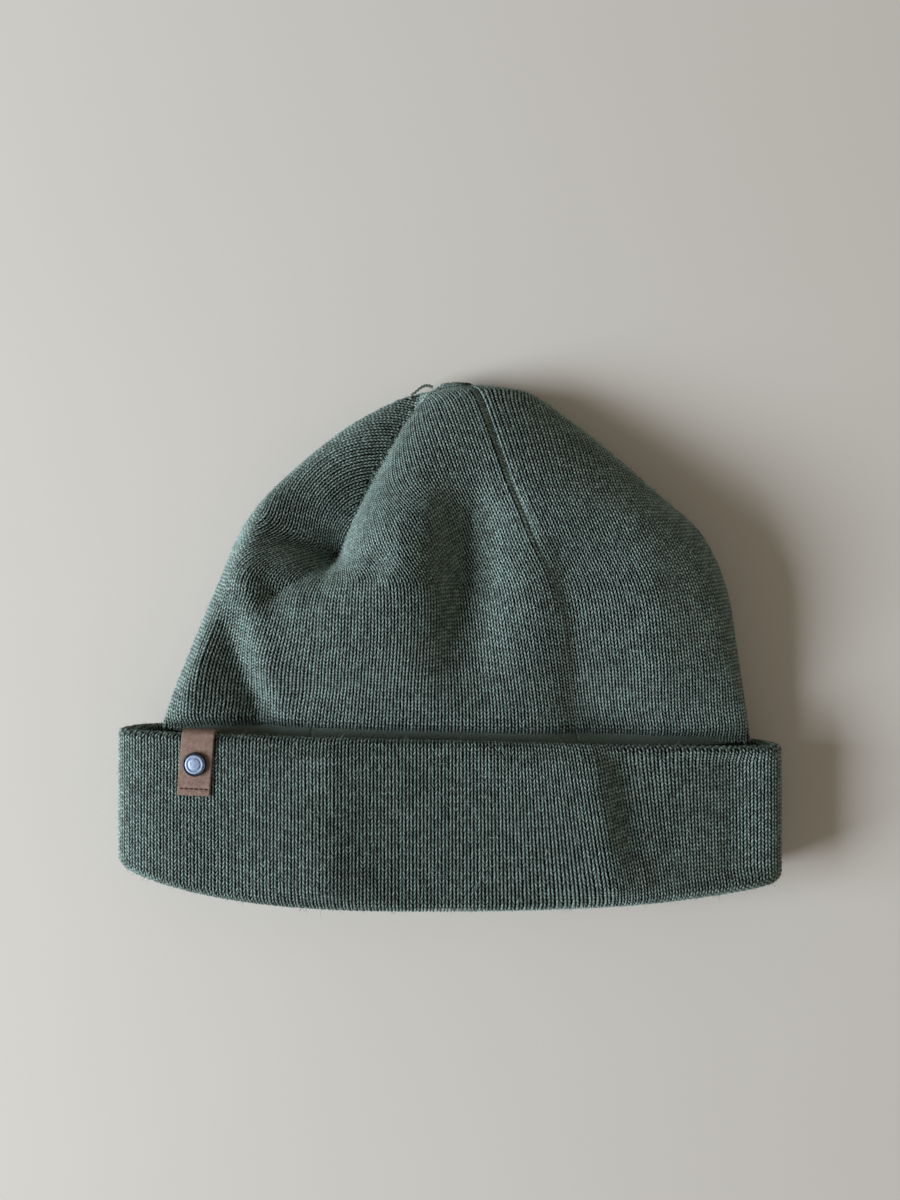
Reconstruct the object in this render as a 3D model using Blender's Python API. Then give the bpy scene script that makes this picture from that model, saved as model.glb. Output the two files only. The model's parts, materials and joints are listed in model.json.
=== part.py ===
"""Knit beanie lying on its back, modelled as the separate pieces it is made of.

The hat is a double knitted tube. Its crown and its lining are four gores each, linked along four
seams and drawn shut at the tip. Both layers turn back at the hem into a two-layer cuff, which is
joined along one seam. A tab label is folded over the cuff's free edge and carries a plain badge.

Frame: +Z points up from the surface the hat lies on, +Y towards the tip of the crown, and +X to the
right of someone looking down at it. The origin is under the middle of the hat.
"""

import math
from typing import NamedTuple

import bmesh
import bpy
from mathutils import Matrix, Vector

MM = 0.001

# The whole hat, laid flat
HAT_LENGTH = 192 * MM
CUFF_WIDTH = 240 * MM
CUFF_HEIGHT = 34 * MM
CUFF_DEPTH = 61.5 * MM
CROWN_HEIGHT = 46 * MM

# Knitted layers, and the room between one layer and the next
LAYER = 1.8 * MM
CLEARANCE = 0.3 * MM

# How the cuff's edges run, seen from above
HEM_LIFT_LEFT = 14 * MM
HEM_LIFT_RIGHT = 8 * MM
FREE_EDGE_SLOPE = 0.025
CUFF_POWER = 3.0
JOIN_FROM_FOLD = 61 * MM

# Room between the cuff's inner face and the crown's folded sides, at the hem and at the free edge
HEM_SIDE_ROOM = 0.8 * MM
LEFT_SIDE_ROOM = 13 * MM
RIGHT_SIDE_ROOM = 6.5 * MM
FRONT_ROOM = 2.6 * MM

# Linked seams
SEAM_BEAD = 1.5 * MM
LINING_BEAD = 1.0 * MM
SEAM_ROOM = 0.5 * MM

# Drawn-in tips
TIP_HEIGHT = 2.2 * MM
LINING_TIP_HEIGHT = 1.2 * MM
LINING_TIP_SHARE = 0.5

# End of the yarn that draws the crown shut
YARN_DIAMETER = 1.2 * MM
YARN_END_LENGTH = 9 * MM
YARN_END_DROP = 3 * MM

# Tab label
TAB_WIDTH = 11.8 * MM
TAB_FRONT_LENGTH = 21.5 * MM
TAB_BACK_LENGTH = 8 * MM
TAB_THICKNESS = 1.0 * MM
TAB_FROM_FOLD = 32 * MM
TAB_LEAN = 0.08
TAB_EASE = 0.5 * MM
TAB_BACK_EASE = 0.6 * MM
STITCH_DIAMETER = 0.6 * MM
STITCH_ABOVE_END = 2.4 * MM
STITCH_MARGIN = 1.2 * MM

# Badge
BADGE_DIAMETER = 8.4 * MM
BADGE_BELOW_EDGE = 10.4 * MM
BADGE_RIM = 0.6 * MM
BADGE_RIM_HEIGHT = 1.1 * MM
BADGE_FLOOR = 0.4 * MM
DISC_HEIGHT = 0.7 * MM
DISC_DOME = 0.3 * MM
POST_DIAMETER = 2.0 * MM

# Facets: across each gore, along the crown and round turned pieces
SIDE_STEPS = 8
MIDDLE_STEPS = 12
STEPS_PER_STATION = 2
TURNED_SEGMENTS = 24
YARN_END_STEPS = 3
SHARP_ANGLE = math.radians(50)

# Distances that follow from the sizes above, measured inward from the cuff's outer face
PITCH = LAYER + CLEARANCE
CUFF_WALL = PITCH + LAYER
CROWN_INSET = CUFF_WALL + CLEARANCE
LINING_END = CROWN_INSET + PITCH + LAYER
FREE_EDGE_Y = CUFF_DEPTH - HAT_LENGTH / 2
TIP_Y = HAT_LENGTH / 2 - TIP_HEIGHT - CLEARANCE
CUFF_JOIN_X = CUFF_WIDTH / 2 - JOIN_FROM_FOLD
TAB_X = TAB_FROM_FOLD - CUFF_WIDTH / 2
HALF_SLOT = POST_DIAMETER / 2 + CLEARANCE

FRONT = 1
BACK = -1


class Station(NamedTuple):
    """One cross-section of the crown: folded sides in plan, heights, seam places and roundness."""

    left_x: float
    left_y: float
    right_x: float
    right_y: float
    front_z: float
    side_z: float
    back_z: float
    front_left_seam: float
    front_right_seam: float
    back_left_seam: float
    back_right_seam: float
    power: float


class Dent(NamedTuple):
    """A soft hollow in the crown's front: its middle, its long direction, half sizes and depth."""

    x: float
    y: float
    degrees: float
    half_length: float
    half_width: float
    depth: float


class Fold(NamedTuple):
    """A crease in the crown's front: its two ends, the depth at each, and its reach on each side."""

    start_x: float
    start_y: float
    end_x: float
    end_y: float
    start_depth: float
    end_depth: float
    left_reach: float
    right_reach: float


class Place(NamedTuple):
    """A place on a flattened tube: 0 to 1 from its left fold to its right fold, front or back."""

    across: float
    face: int


# The crown above the cuff. Plan places are shares of its half width at the cuff and of its length,
# heights are shares of the crown's height, and seams are shares of the way from left to right.
CROWN_SHAPE = (
    Station(0.893, 0.256, 0.959, 0.225, 0.87, 0.33, 0.02, 0.240, 0.680, 0.25, 0.75, 2.6),
    Station(0.806, 0.430, 0.923, 0.406, 1.00, 0.33, 0.00, 0.222, 0.655, 0.25, 0.75, 2.4),
    Station(0.699, 0.619, 0.845, 0.563, 0.98, 0.31, 0.00, 0.230, 0.610, 0.25, 0.74, 2.3),
    Station(0.534, 0.768, 0.682, 0.697, 0.85, 0.28, 0.00, 0.221, 0.585, 0.25, 0.72, 2.2),
    Station(0.320, 0.905, 0.455, 0.868, 0.63, 0.24, 0.00, 0.210, 0.570, 0.26, 0.68, 2.1),
    Station(0.150, 0.975, 0.245, 0.988, 0.43, 0.21, 0.02, 0.225, 0.580, 0.30, 0.62, 2.0),
    Station(0.058, 0.993, 0.091, 1.007, 0.30, 0.19, 0.06, 0.270, 0.660, 0.30, 0.68, 2.0),
)

# Where the four seams stand at the hem and at the cuff's free edge: front left, front right, back left
# and back right, as shares of the way from the left fold to the right fold
HEM_SEAMS = (0.25, 0.75, 0.25, 0.75)
EDGE_SEAMS = (0.25, 0.71, 0.25, 0.75)

# The most of a section's half width that rolls up from the flat back
MOST_ROLL = 0.7

# A drawn-in tip from its base to its top: shares of the base's size and of the tip's height
TIP_LEVELS = ((0.97, 0.0), (0.94, 0.35), (0.75, 0.7), (0.4, 0.92))

# How far to each side a slope is measured: in stations along the crown, in shares across the cuff
SLOPE_STEP = 0.02

# Soft hollows: beside the left dart, down the middle and above the cuff at the left
DENTS = (
    Dent(-52 * MM, 48 * MM, 67, 28 * MM, 17 * MM, 6 * MM),
    Dent(6 * MM, 24 * MM, 96, 31 * MM, 12 * MM, 10 * MM),
    Dent(-77 * MM, -4 * MM, 110, 28 * MM, 11 * MM, 5 * MM),
)

# Creases: the tuck along the left dart, and the pocket that runs on from its lower end
FOLDS = (
    Fold(-42 * MM, 30 * MM, -13 * MM, 87 * MM, 13 * MM, 3 * MM, 20 * MM, 12 * MM),
    Fold(-61 * MM, 17 * MM, -50 * MM, 24 * MM, 6 * MM, 7 * MM, 14 * MM, 11 * MM),
)

# How far a crease runs on past its ends, how round its bottom is as a share of its reach, and how far
# the deeper of two creases that meet counts alone
FOLD_END = 17 * MM
FOLD_ROUND = 0.3
FOLD_BLEND = 3

SLATE_KNIT = (0.062, 0.085, 0.082)
LINING_KNIT = (0.055, 0.076, 0.074)
SEAM_YARN = (0.042, 0.058, 0.056)
BROWN_SUEDE = (0.165, 0.105, 0.075)
TAB_THREAD = (0.110, 0.068, 0.048)
DARK_METAL = (0.050, 0.055, 0.065)
BLUE_GREY = (0.175, 0.260, 0.400)


def clear_scene():
    """Empty the scene."""
    for old in list(bpy.data.objects):
        bpy.data.objects.remove(old, do_unlink=True)


def material(name, colour, roughness, metallic=0.0):
    """Make a plain Principled material."""
    made = bpy.data.materials.new(name)
    made.use_nodes = True
    shader = made.node_tree.nodes["Principled BSDF"]
    shader.inputs["Base Color"].default_value = (*colour, 1.0)
    shader.inputs["Roughness"].default_value = roughness
    shader.inputs["Metallic"].default_value = metallic
    return made


def add_solid(name, points, faces, finish):
    """Add a closed, smooth-shaded mesh object from points and faces."""
    shape = bmesh.new()
    corners = [shape.verts.new(point) for point in points]
    for face in faces:
        shape.faces.new([corners[index] for index in face])
    shape.normal_update()
    ends = [face for face in shape.faces if len(face.verts) > 4]
    bmesh.ops.triangulate(shape, faces=ends, ngon_method="EAR_CLIP")
    bmesh.ops.recalc_face_normals(shape, faces=shape.faces)
    mesh = bpy.data.meshes.new(name)
    shape.to_mesh(mesh)
    shape.free()
    mesh.shade_smooth()
    mesh.set_sharp_from_angle(angle=SHARP_ANGLE)
    mesh.materials.append(finish)
    solid = bpy.data.objects.new(name, mesh)
    bpy.context.scene.collection.objects.link(solid)
    return solid


def add_tube(name, points, diameter, resolution, finish):
    """Add a round tube with closed ends along a list of points."""
    curve = bpy.data.curves.new(name, "CURVE")
    curve.dimensions = "3D"
    curve.bevel_depth = diameter / 2
    curve.bevel_resolution = resolution
    curve.use_fill_caps = True
    path = curve.splines.new("POLY")
    path.points.add(len(points) - 1)
    for knot, point in zip(path.points, points):
        knot.co = (*point, 1.0)
    path.use_smooth = True
    curve.materials.append(finish)
    tube = bpy.data.objects.new(name, curve)
    bpy.context.scene.collection.objects.link(tube)
    return tube


def split_quad(a, b, c, d):
    """Two triangles for a quad, split the same way on every layer so that layers stay parallel."""
    return [(a, b, c), (a, c, d)]


def smooth_value(values, t):
    """Value at a fractional place along a list, on a smooth curve that never overshoots it."""
    steps = [after - before for before, after in zip(values, values[1:])]
    slopes = [steps[0]]
    for before, after in zip(steps, steps[1:]):
        same_way = before * after > 0
        slopes.append(2 * before * after / (before + after) if same_way else 0.0)
    slopes.append(steps[-1])
    index = min(int(t), len(steps) - 1)
    s = t - index
    ease = s * s * (3 - 2 * s)
    leave = s * (1 - s) ** 2 * slopes[index]
    arrive = s * s * (s - 1) * slopes[index + 1]
    return values[index] + ease * steps[index] + leave + arrive


def hem_y(x):
    """Y of the hat's lower edge, which lifts towards both ends of the cuff."""
    share = 2 * x / CUFF_WIDTH
    lift = HEM_LIFT_LEFT * max(0.0, -share) ** 3 + HEM_LIFT_RIGHT * max(0.0, share) ** 2
    return lift - HAT_LENGTH / 2


def free_edge_y(x):
    """Y of the cuff's free edge."""
    return FREE_EDGE_Y - FREE_EDGE_SLOPE * x


def domed(share, power):
    """Height of a front face across its width: 1 in the middle, falling round to 0 at the folds."""
    return max(0.0, 1.0 - abs(share) ** power) ** (1.0 / power)


def rolled(share, roll):
    """Depth of a back face across its width: 1 where it lies flat, rolling up to 0 at the folds."""
    past = max(0.0, abs(share) - (1.0 - roll)) / roll
    return math.sqrt(max(0.0, 1.0 - past * past))


def cuff_point(place, depth, y_of):
    """Point of the cuff at a depth below its outer face, with Y given by a function of X."""
    share = 2 * place.across - 1
    half = CUFF_WIDTH / 2 - depth
    reach = CUFF_HEIGHT / 2 - depth
    rise = domed(share, CUFF_POWER) if place.face == FRONT else -rolled(share, reach / half)
    x = half * share
    return Vector((x, y_of(x), CUFF_HEIGHT / 2 + reach * rise))


def crown_stations():
    """Sections of the crown from the hem to the tip, in metres."""
    hem_half = CUFF_WIDTH / 2 - CROWN_INSET - HEM_SIDE_ROOM
    left_half = CUFF_WIDTH / 2 - CROWN_INSET - LEFT_SIDE_ROOM
    right_half = CUFF_WIDTH / 2 - CROWN_INSET - RIGHT_SIDE_ROOM
    front_z = CUFF_HEIGHT - CROWN_INSET
    side_z = CUFF_HEIGHT / 2
    hem = Station(
        -hem_half, hem_y(-hem_half), hem_half, hem_y(hem_half),
        front_z, side_z, CROWN_INSET, *HEM_SEAMS, CUFF_POWER,
    )
    edge = Station(
        -left_half, free_edge_y(-left_half), right_half, free_edge_y(right_half),
        front_z - FRONT_ROOM, side_z, CROWN_INSET, *EDGE_SEAMS, CUFF_POWER,
    )
    length = TIP_Y - FREE_EDGE_Y
    upper = [
        row._replace(
            left_x=-row.left_x * left_half,
            left_y=FREE_EDGE_Y + row.left_y * length,
            right_x=row.right_x * right_half,
            right_y=FREE_EDGE_Y + row.right_y * length,
            front_z=row.front_z * CROWN_HEIGHT,
            side_z=row.side_z * CROWN_HEIGHT,
            back_z=row.back_z * CROWN_HEIGHT,
        )
        for row in CROWN_SHAPE
    ]
    return [hem, edge, *upper]


STATIONS = crown_stations()
TIP_T = len(STATIONS) - 1
LINING_TIP_T = TIP_T - 1
LINING_DRAW_T = TIP_T - 3


def station(t):
    """Cross-section at a fractional place along the crown."""
    return Station(*(smooth_value(column, t) for column in zip(*STATIONS)))


def side_inward(t, side):
    """Unit vector in plan that points into the crown from its left or right fold."""
    low = station(max(t - SLOPE_STEP, 0.0))
    high = station(min(t + SLOPE_STEP, TIP_T))
    if side == "left":
        run = Vector((high.left_x - low.left_x, high.left_y - low.left_y))
        return Vector((run.y, -run.x)).normalized()
    run = Vector((high.right_x - low.right_x, high.right_y - low.right_y))
    return Vector((-run.y, run.x)).normalized()


def crown_row(t, depth):
    """The two folded sides of a crown section in plan, moved inward by a depth."""
    row = station(t)
    left = Vector((row.left_x, row.left_y)) + depth * side_inward(t, "left")
    right = Vector((row.right_x, row.right_y)) + depth * side_inward(t, "right")
    return row, left, right


def fold_depth(fold, x, y):
    """How far one crease sinks the crown's front at a place in plan."""
    run = Vector((fold.end_x - fold.start_x, fold.end_y - fold.start_y))
    away = Vector((x - fold.start_x, y - fold.start_y))
    along = away.dot(run) / run.length
    aside = (away.x * run.y - away.y * run.x) / run.length
    share = min(1.0, max(0.0, along / run.length))
    past = (along - share * run.length) / FOLD_END
    across = aside / (fold.right_reach if aside > 0 else fold.left_reach)
    side = math.exp(FOLD_ROUND - math.hypot(across, FOLD_ROUND))
    depth = fold.start_depth + share * (fold.end_depth - fold.start_depth)
    return depth * side * math.exp(-past * past)


def sunk_depth(x, y):
    """How far the crown's front sinks at a place in plan."""
    total = 0.0
    for dent in DENTS:
        turn = math.radians(dent.degrees)
        away = Vector((x - dent.x, y - dent.y))
        along = (away.x * math.cos(turn) + away.y * math.sin(turn)) / dent.half_length
        aside = (away.y * math.cos(turn) - away.x * math.sin(turn)) / dent.half_width
        total += dent.depth * math.exp(-along * along - aside * aside)
    return total + sum(fold_depth(fold, x, y) ** FOLD_BLEND for fold in FOLDS) ** (1 / FOLD_BLEND)


def crown_point(place, t, depth, start, drawn=1.0):
    """Point of the crown at a depth below its outer face; drawn shrinks a section to its middle."""
    row, left, right = crown_row(t, depth)
    share = 2 * place.across - 1
    flat = (left + right) / 2 + (right - left) / 2 * share * drawn
    reach = row.side_z - row.back_z - depth
    if place.face == FRONT:
        dome = domed(share, row.power)
        z = row.side_z + dome * (row.front_z - depth - row.side_z - sunk_depth(flat.x, flat.y))
    else:
        z = row.side_z - reach * rolled(share, min(MOST_ROLL, 2 * reach / (right - left).length))
    middle_z = (row.front_z + row.back_z) / 2
    z = middle_z + (z - middle_z) * drawn
    y = flat.y
    if t < 1:
        y = (1 - t) * (hem_y(flat.x) + start) + t * free_edge_y(flat.x)
    return Vector((flat.x, y, z))


def lining_draw(t):
    """How far the lining is drawn in on its way to its own tip."""
    s = min(1.0, max(0.0, (t - LINING_DRAW_T) / (LINING_TIP_T - LINING_DRAW_T)))
    return 1.0 - (1.0 - LINING_TIP_SHARE) * s * s * (3 - 2 * s)


class Shell(NamedTuple):
    """One layer of the crown: its name, outer depth, height above the hem, last station and seam."""

    name: str
    depth: float
    start: float
    last_t: int
    bead: float
    finish: bpy.types.Material
    thread: bpy.types.Material

    def point(self, place, t, below):
        """Point of this layer at a distance below its own outer face."""
        drawn = lining_draw(t) if self.name == "lining" else 1.0
        return crown_point(place, t, self.depth + below, self.start, drawn)

    def places_along(self):
        """Fractional stations at which this layer has a row of points."""
        count = self.last_t * STEPS_PER_STATION
        return [step / STEPS_PER_STATION for step in range(count + 1)]


def seam_share(t, side, face):
    """How far across the crown a seam runs, from its left fold to its right fold."""
    row = station(t)
    if face == FRONT:
        return row.front_left_seam if side == "left" else row.front_right_seam
    return row.back_left_seam if side == "left" else row.back_right_seam


def seam_half_gap(shell, t, side, face):
    """Half the room for a seam, as a share of the row, square to the runs of seam that meet there."""
    row = shell.point(Place(1.0, face), t, 0.0) - shell.point(Place(0.0, face), t, 0.0)
    here = shell.point(Place(seam_share(t, side, face), face), t, 0.0)
    step = 1 / STEPS_PER_STATION
    least = row.xy.length
    for next_t in (t - step, t + step):
        if 0 <= next_t <= shell.last_t:
            there = shell.point(Place(seam_share(next_t, side, face), face), next_t, 0.0)
            run = (there - here).xy.normalized()
            least = min(least, abs(run.x * row.y - run.y * row.x))
    return (shell.bead / 2 + SEAM_ROOM) / least


def side_places(front_edge, back_edge, mirrored):
    """Places across a side gore, from its back seam round the fold to its front seam."""
    back = [Place(back_edge * (step / SIDE_STEPS) ** 2, BACK) for step in range(SIDE_STEPS, 0, -1)]
    front = [Place(front_edge * (step / SIDE_STEPS) ** 2, FRONT) for step in range(SIDE_STEPS + 1)]
    if not mirrored:
        return back + front
    return [Place(1.0 - place.across, place.face) for place in back + front]


def gore_places(shell, gore, t):
    """Places across one gore at a station, stopping short of its two seams."""
    edges = {}
    for side in ("left", "right"):
        for face in (FRONT, BACK):
            gap = seam_half_gap(shell, t, side, face)
            edges[side, face] = (seam_share(t, side, face), gap)
    if gore in ("front", "back"):
        face = FRONT if gore == "front" else BACK
        low = sum(edges["left", face])
        high = edges["right", face][0] - edges["right", face][1]
        return [Place(low + (high - low) * step / MIDDLE_STEPS, face) for step in range(MIDDLE_STEPS + 1)]
    front_edge, front_gap = edges[gore, FRONT]
    back_edge, back_gap = edges[gore, BACK]
    if gore == "right":
        front_edge = 1.0 - front_edge
        back_edge = 1.0 - back_edge
    return side_places(front_edge - front_gap, back_edge - back_gap, gore == "right")


def add_gore(shell, gore):
    """Add one gore of a layer as a closed sheet of the layer's thickness."""
    points = []
    rows = shell.places_along()
    grid = [gore_places(shell, gore, t) for t in rows]
    columns = len(grid[0])
    for below in (0.0, LAYER):
        for t, places in zip(rows, grid):
            points += [shell.point(place, t, below) for place in places]
    inner = len(rows) * columns
    faces = []
    for row in range(len(rows) - 1):
        for column in range(columns - 1):
            a = row * columns + column
            corners = (a, a + 1, a + columns + 1, a + columns)
            faces += split_quad(*corners)
            faces += split_quad(*(corner + inner for corner in corners))
    around = list(range(columns))
    around += [row * columns + columns - 1 for row in range(1, len(rows))]
    around += [(len(rows) - 1) * columns + column for column in range(columns - 2, -1, -1)]
    around += [row * columns for row in range(len(rows) - 2, 0, -1)]
    for a, b in zip(around, around[1:] + around[:1]):
        faces += split_quad(a, b, b + inner, a + inner)
    return add_solid(f"{shell.name}_{gore}_gore", points, faces, shell.finish)


def add_seam(shell, side, face):
    """Add the bead of linked yarn that joins two gores of a layer."""
    rows = shell.places_along()
    path = [shell.point(Place(seam_share(t, side, face), face), t, LAYER / 2) for t in rows]
    name = f"{shell.name}_seam_{'front' if face == FRONT else 'back'}_{side}"
    return add_tube(name, path, shell.bead, 1, shell.thread)


def add_tip(shell, height):
    """Add the gathered stitches that draw a layer shut: a low cap over the ends of its gores."""
    ring = []
    for gore in ("front", "right", "back", "left"):
        places = gore_places(shell, gore, shell.last_t)
        ring += places if gore in ("front", "left") else places[::-1]
    base = [shell.point(place, shell.last_t, 0.0) for place in ring]
    middle = sum(base, Vector()) / len(base)
    points = []
    for scale, lift in TIP_LEVELS:
        rise = Vector((0.0, CLEARANCE + lift * height, 0.0))
        points += [middle + (point - middle) * scale + rise for point in base]
    count = len(base)
    faces = []
    for level in range(len(TIP_LEVELS) - 1):
        for index in range(count):
            a = level * count + index
            b = level * count + (index + 1) % count
            faces += split_quad(a, b, b + count, a + count)
    points.append(middle + Vector((0.0, CLEARANCE, 0.0)))
    points.append(middle + Vector((0.0, CLEARANCE + height, 0.0)))
    top = (len(TIP_LEVELS) - 1) * count
    for index in range(count):
        after = (index + 1) % count
        faces.append((after, index, len(points) - 2))
        faces.append((top + index, top + after, len(points) - 1))
    return add_solid(f"{shell.name}_tip", points, faces, shell.thread)


def add_yarn_end(finish):
    """Add the end of the closing yarn, which leaves the tip and lies along the crown's left slope."""
    row = station(TIP_T)
    start = Vector((row.left_x - CLEARANCE, row.left_y + YARN_DIAMETER, row.side_z))
    path = []
    for step in range(YARN_END_STEPS + 1):
        share = step / YARN_END_STEPS
        sag = -YARN_END_DROP * share * share
        path.append(start + Vector((-YARN_END_LENGTH * share, 0.0, sag)))
    return add_tube("closing_yarn_end", path, YARN_DIAMETER, 2, finish)


def half_turn():
    """Shares from fold to fold, closer together where the cuff turns."""
    low, high = HEM_SEAMS[:2]
    left = [low * (step / SIDE_STEPS) ** 2 for step in range(SIDE_STEPS)]
    middle = [low + (high - low) * step / MIDDLE_STEPS for step in range(MIDDLE_STEPS + 1)]
    right = [1.0 - (1.0 - high) * (step / SIDE_STEPS) ** 2 for step in range(SIDE_STEPS - 1, -1, -1)]
    return left + middle + right


def ring_places():
    """Places round the cuff, from the left fold over the front and back underneath."""
    shares = half_turn()
    front = [Place(share, FRONT) for share in shares]
    back = [Place(share, BACK) for share in reversed(shares[1:-1])]
    return front + back


def open_ring_places():
    """Places round the cuff from one side of its join to the other, leaving room for the join."""
    join = 0.5 + CUFF_JOIN_X / CUFF_WIDTH
    gap = (SEAM_BEAD / 2 + SEAM_ROOM) / CUFF_WIDTH
    least = 2 * gap
    ring = ring_places()
    first = next(i for i, place in enumerate(ring) if place.face == FRONT and place.across > join + least)
    last = next(i for i, place in enumerate(ring) if place.across > join - least)
    return [Place(join + gap, FRONT), *ring[first:], *ring[:last], Place(join - gap, FRONT)]


def from_hem(offset):
    """Function for Y at a distance above the hem."""
    return lambda x: hem_y(x) + offset


def from_edge(offset):
    """Function for Y at a distance below the cuff's free edge."""
    return lambda x: free_edge_y(x) - offset


def add_band(name, profile, places, closed, finish):
    """Add a band round the cuff: a profile of depths and Y places carried along a run of places."""
    points = []
    for place in places:
        points += [cuff_point(place, depth, y_of) for depth, y_of in profile]
    size = len(profile)
    count = len(places)
    faces = []
    for index in range(count if closed else count - 1):
        after = (index + 1) % count
        for corner in range(size):
            following = (corner + 1) % size
            faces.append((index * size + corner, index * size + following,
                          after * size + following, after * size + corner))
    if not closed:
        faces.append(tuple(range(size)))
        faces.append(tuple((count - 1) * size + corner for corner in range(size)))
    return add_solid(name, points, faces, finish)


def add_cuff_outer(finish):
    """Add the cuff's outer layer, turned in under the hem and over the free edge."""
    round_off = 0.3 * LAYER
    profile = [
        (0.0, from_hem(LAYER)), (0.0, from_edge(LAYER)), (round_off, from_edge(round_off)),
        (LAYER, from_edge(0.0)), (CUFF_WALL - round_off, from_edge(0.0)), (CUFF_WALL, from_edge(round_off)),
        (CUFF_WALL, from_edge(LAYER)), (LAYER, from_edge(LAYER)), (LAYER, from_hem(LAYER)),
        (LINING_END, from_hem(LAYER)), (LINING_END, from_hem(0.0)), (LAYER, from_hem(0.0)),
        (round_off, from_hem(round_off)),
    ]
    return add_band("cuff_outer_layer", profile, open_ring_places(), False, finish)


def add_cuff_inner(finish):
    """Add the cuff's inner layer, whose foot turns in under the ends of the crown's gores."""
    foot = PITCH + LAYER
    profile = [
        (PITCH, from_hem(PITCH)), (PITCH, from_edge(PITCH)), (CUFF_WALL, from_edge(PITCH)),
        (CUFF_WALL, from_hem(foot)), (CROWN_INSET + LAYER, from_hem(foot)),
        (CROWN_INSET + LAYER, from_hem(PITCH)),
    ]
    return add_band("cuff_inner_layer", profile, ring_places(), True, finish)


def add_cuff_join(finish):
    """Add the linked seam that closes the cuff's outer layer into a ring."""
    place = Place(0.5 + CUFF_JOIN_X / CUFF_WIDTH, FRONT)
    ends = [cuff_point(place, LAYER / 2, y_of) for y_of in (from_hem(CLEARANCE), from_edge(CLEARANCE))]
    return add_tube("cuff_join_seam", ends, SEAM_BEAD, 1, finish)


def cuff_front_normal(place, y_of):
    """Unit vector that points out of the cuff's front at a place."""
    low = cuff_point(Place(place.across - SLOPE_STEP, FRONT), 0.0, y_of)
    high = cuff_point(Place(place.across + SLOPE_STEP, FRONT), 0.0, y_of)
    return Vector((low.z - high.z, 0.0, high.x - low.x)).normalized()


def tab_point(aside, depth, below_edge):
    """Point of the tab: a distance aside from its middle, a depth, and a distance below the edge."""
    x = TAB_X + aside - TAB_LEAN * below_edge
    place = Place(0.5 + x / CUFF_WIDTH, FRONT)
    y_of = from_edge(below_edge)
    return cuff_point(place, 0.0, y_of) - depth * cuff_front_normal(place, y_of)


def tab_profile():
    """The tab's folded section: pairs of near and far sides as depths and distances below the edge."""
    near = -TAB_EASE
    face = near - TAB_THICKNESS
    far = CUFF_WALL + TAB_BACK_EASE
    behind = far + TAB_THICKNESS
    corner = 0.3 * TAB_THICKNESS
    stitch = TAB_FRONT_LENGTH - STITCH_ABOVE_END
    half_groove = STITCH_DIAMETER / 2 + CLEARANCE
    groove = face + TAB_THICKNESS / 2
    return [
        ((near, TAB_FRONT_LENGTH), (face, TAB_FRONT_LENGTH)),
        ((near, stitch + half_groove), (face, stitch + half_groove)),
        ((near, stitch + half_groove / 2), (groove, stitch + half_groove)),
        ((near, stitch - half_groove / 2), (groove, stitch - half_groove)),
        ((near, stitch - half_groove), (face, stitch - half_groove)),
        ((near, BADGE_BELOW_EDGE + HALF_SLOT), (face, BADGE_BELOW_EDGE + HALF_SLOT)),
        ((near, BADGE_BELOW_EDGE - HALF_SLOT), (face, BADGE_BELOW_EDGE - HALF_SLOT)),
        ((near, 0.0), (face, 0.0)),
        ((near, near), (face + corner, face + corner)),
        ((CUFF_WALL / 2, near), (CUFF_WALL / 2, face)),
        ((far, near), (behind - corner, face + corner)),
        ((far, 0.0), (behind, 0.0)),
        ((far, TAB_BACK_LENGTH), (behind, TAB_BACK_LENGTH)),
    ]


def badge_frame():
    """Placement of the badge: its middle on the tab's face, its axis square to that face."""
    seat = tab_point(0.0, -TAB_EASE - TAB_THICKNESS, BADGE_BELOW_EDGE)
    out = (seat - tab_point(0.0, 0.0, BADGE_BELOW_EDGE)).normalized()
    along = Vector((0.0, 1.0, 0.0))
    across = along.cross(out)
    turn = Matrix((across, along, out)).transposed().to_4x4()
    return Matrix.Translation(seat) @ turn


def add_turned(name, profile, frame, finish):
    """Add a turned piece from radii and heights that start and end on its axis."""
    points = [Vector((0.0, 0.0, profile[0][1]))]
    for radius, height in profile[1:-1]:
        for step in range(TURNED_SEGMENTS):
            angle = math.tau * step / TURNED_SEGMENTS
            points.append(Vector((radius * math.cos(angle), radius * math.sin(angle), height)))
    points.append(Vector((0.0, 0.0, profile[-1][1])))
    last = len(points) - 1
    top = last - TURNED_SEGMENTS
    faces = []
    for step in range(TURNED_SEGMENTS):
        after = (step + 1) % TURNED_SEGMENTS
        faces.append((0, 1 + after, 1 + step))
        faces.append((last, top + step, top + after))
        for ring in range(len(profile) - 3):
            low = 1 + ring * TURNED_SEGMENTS
            high = low + TURNED_SEGMENTS
            faces.append((low + step, low + after, high + after, high + step))
    piece = add_solid(name, points, faces, finish)
    piece.matrix_world = frame
    return piece


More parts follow.
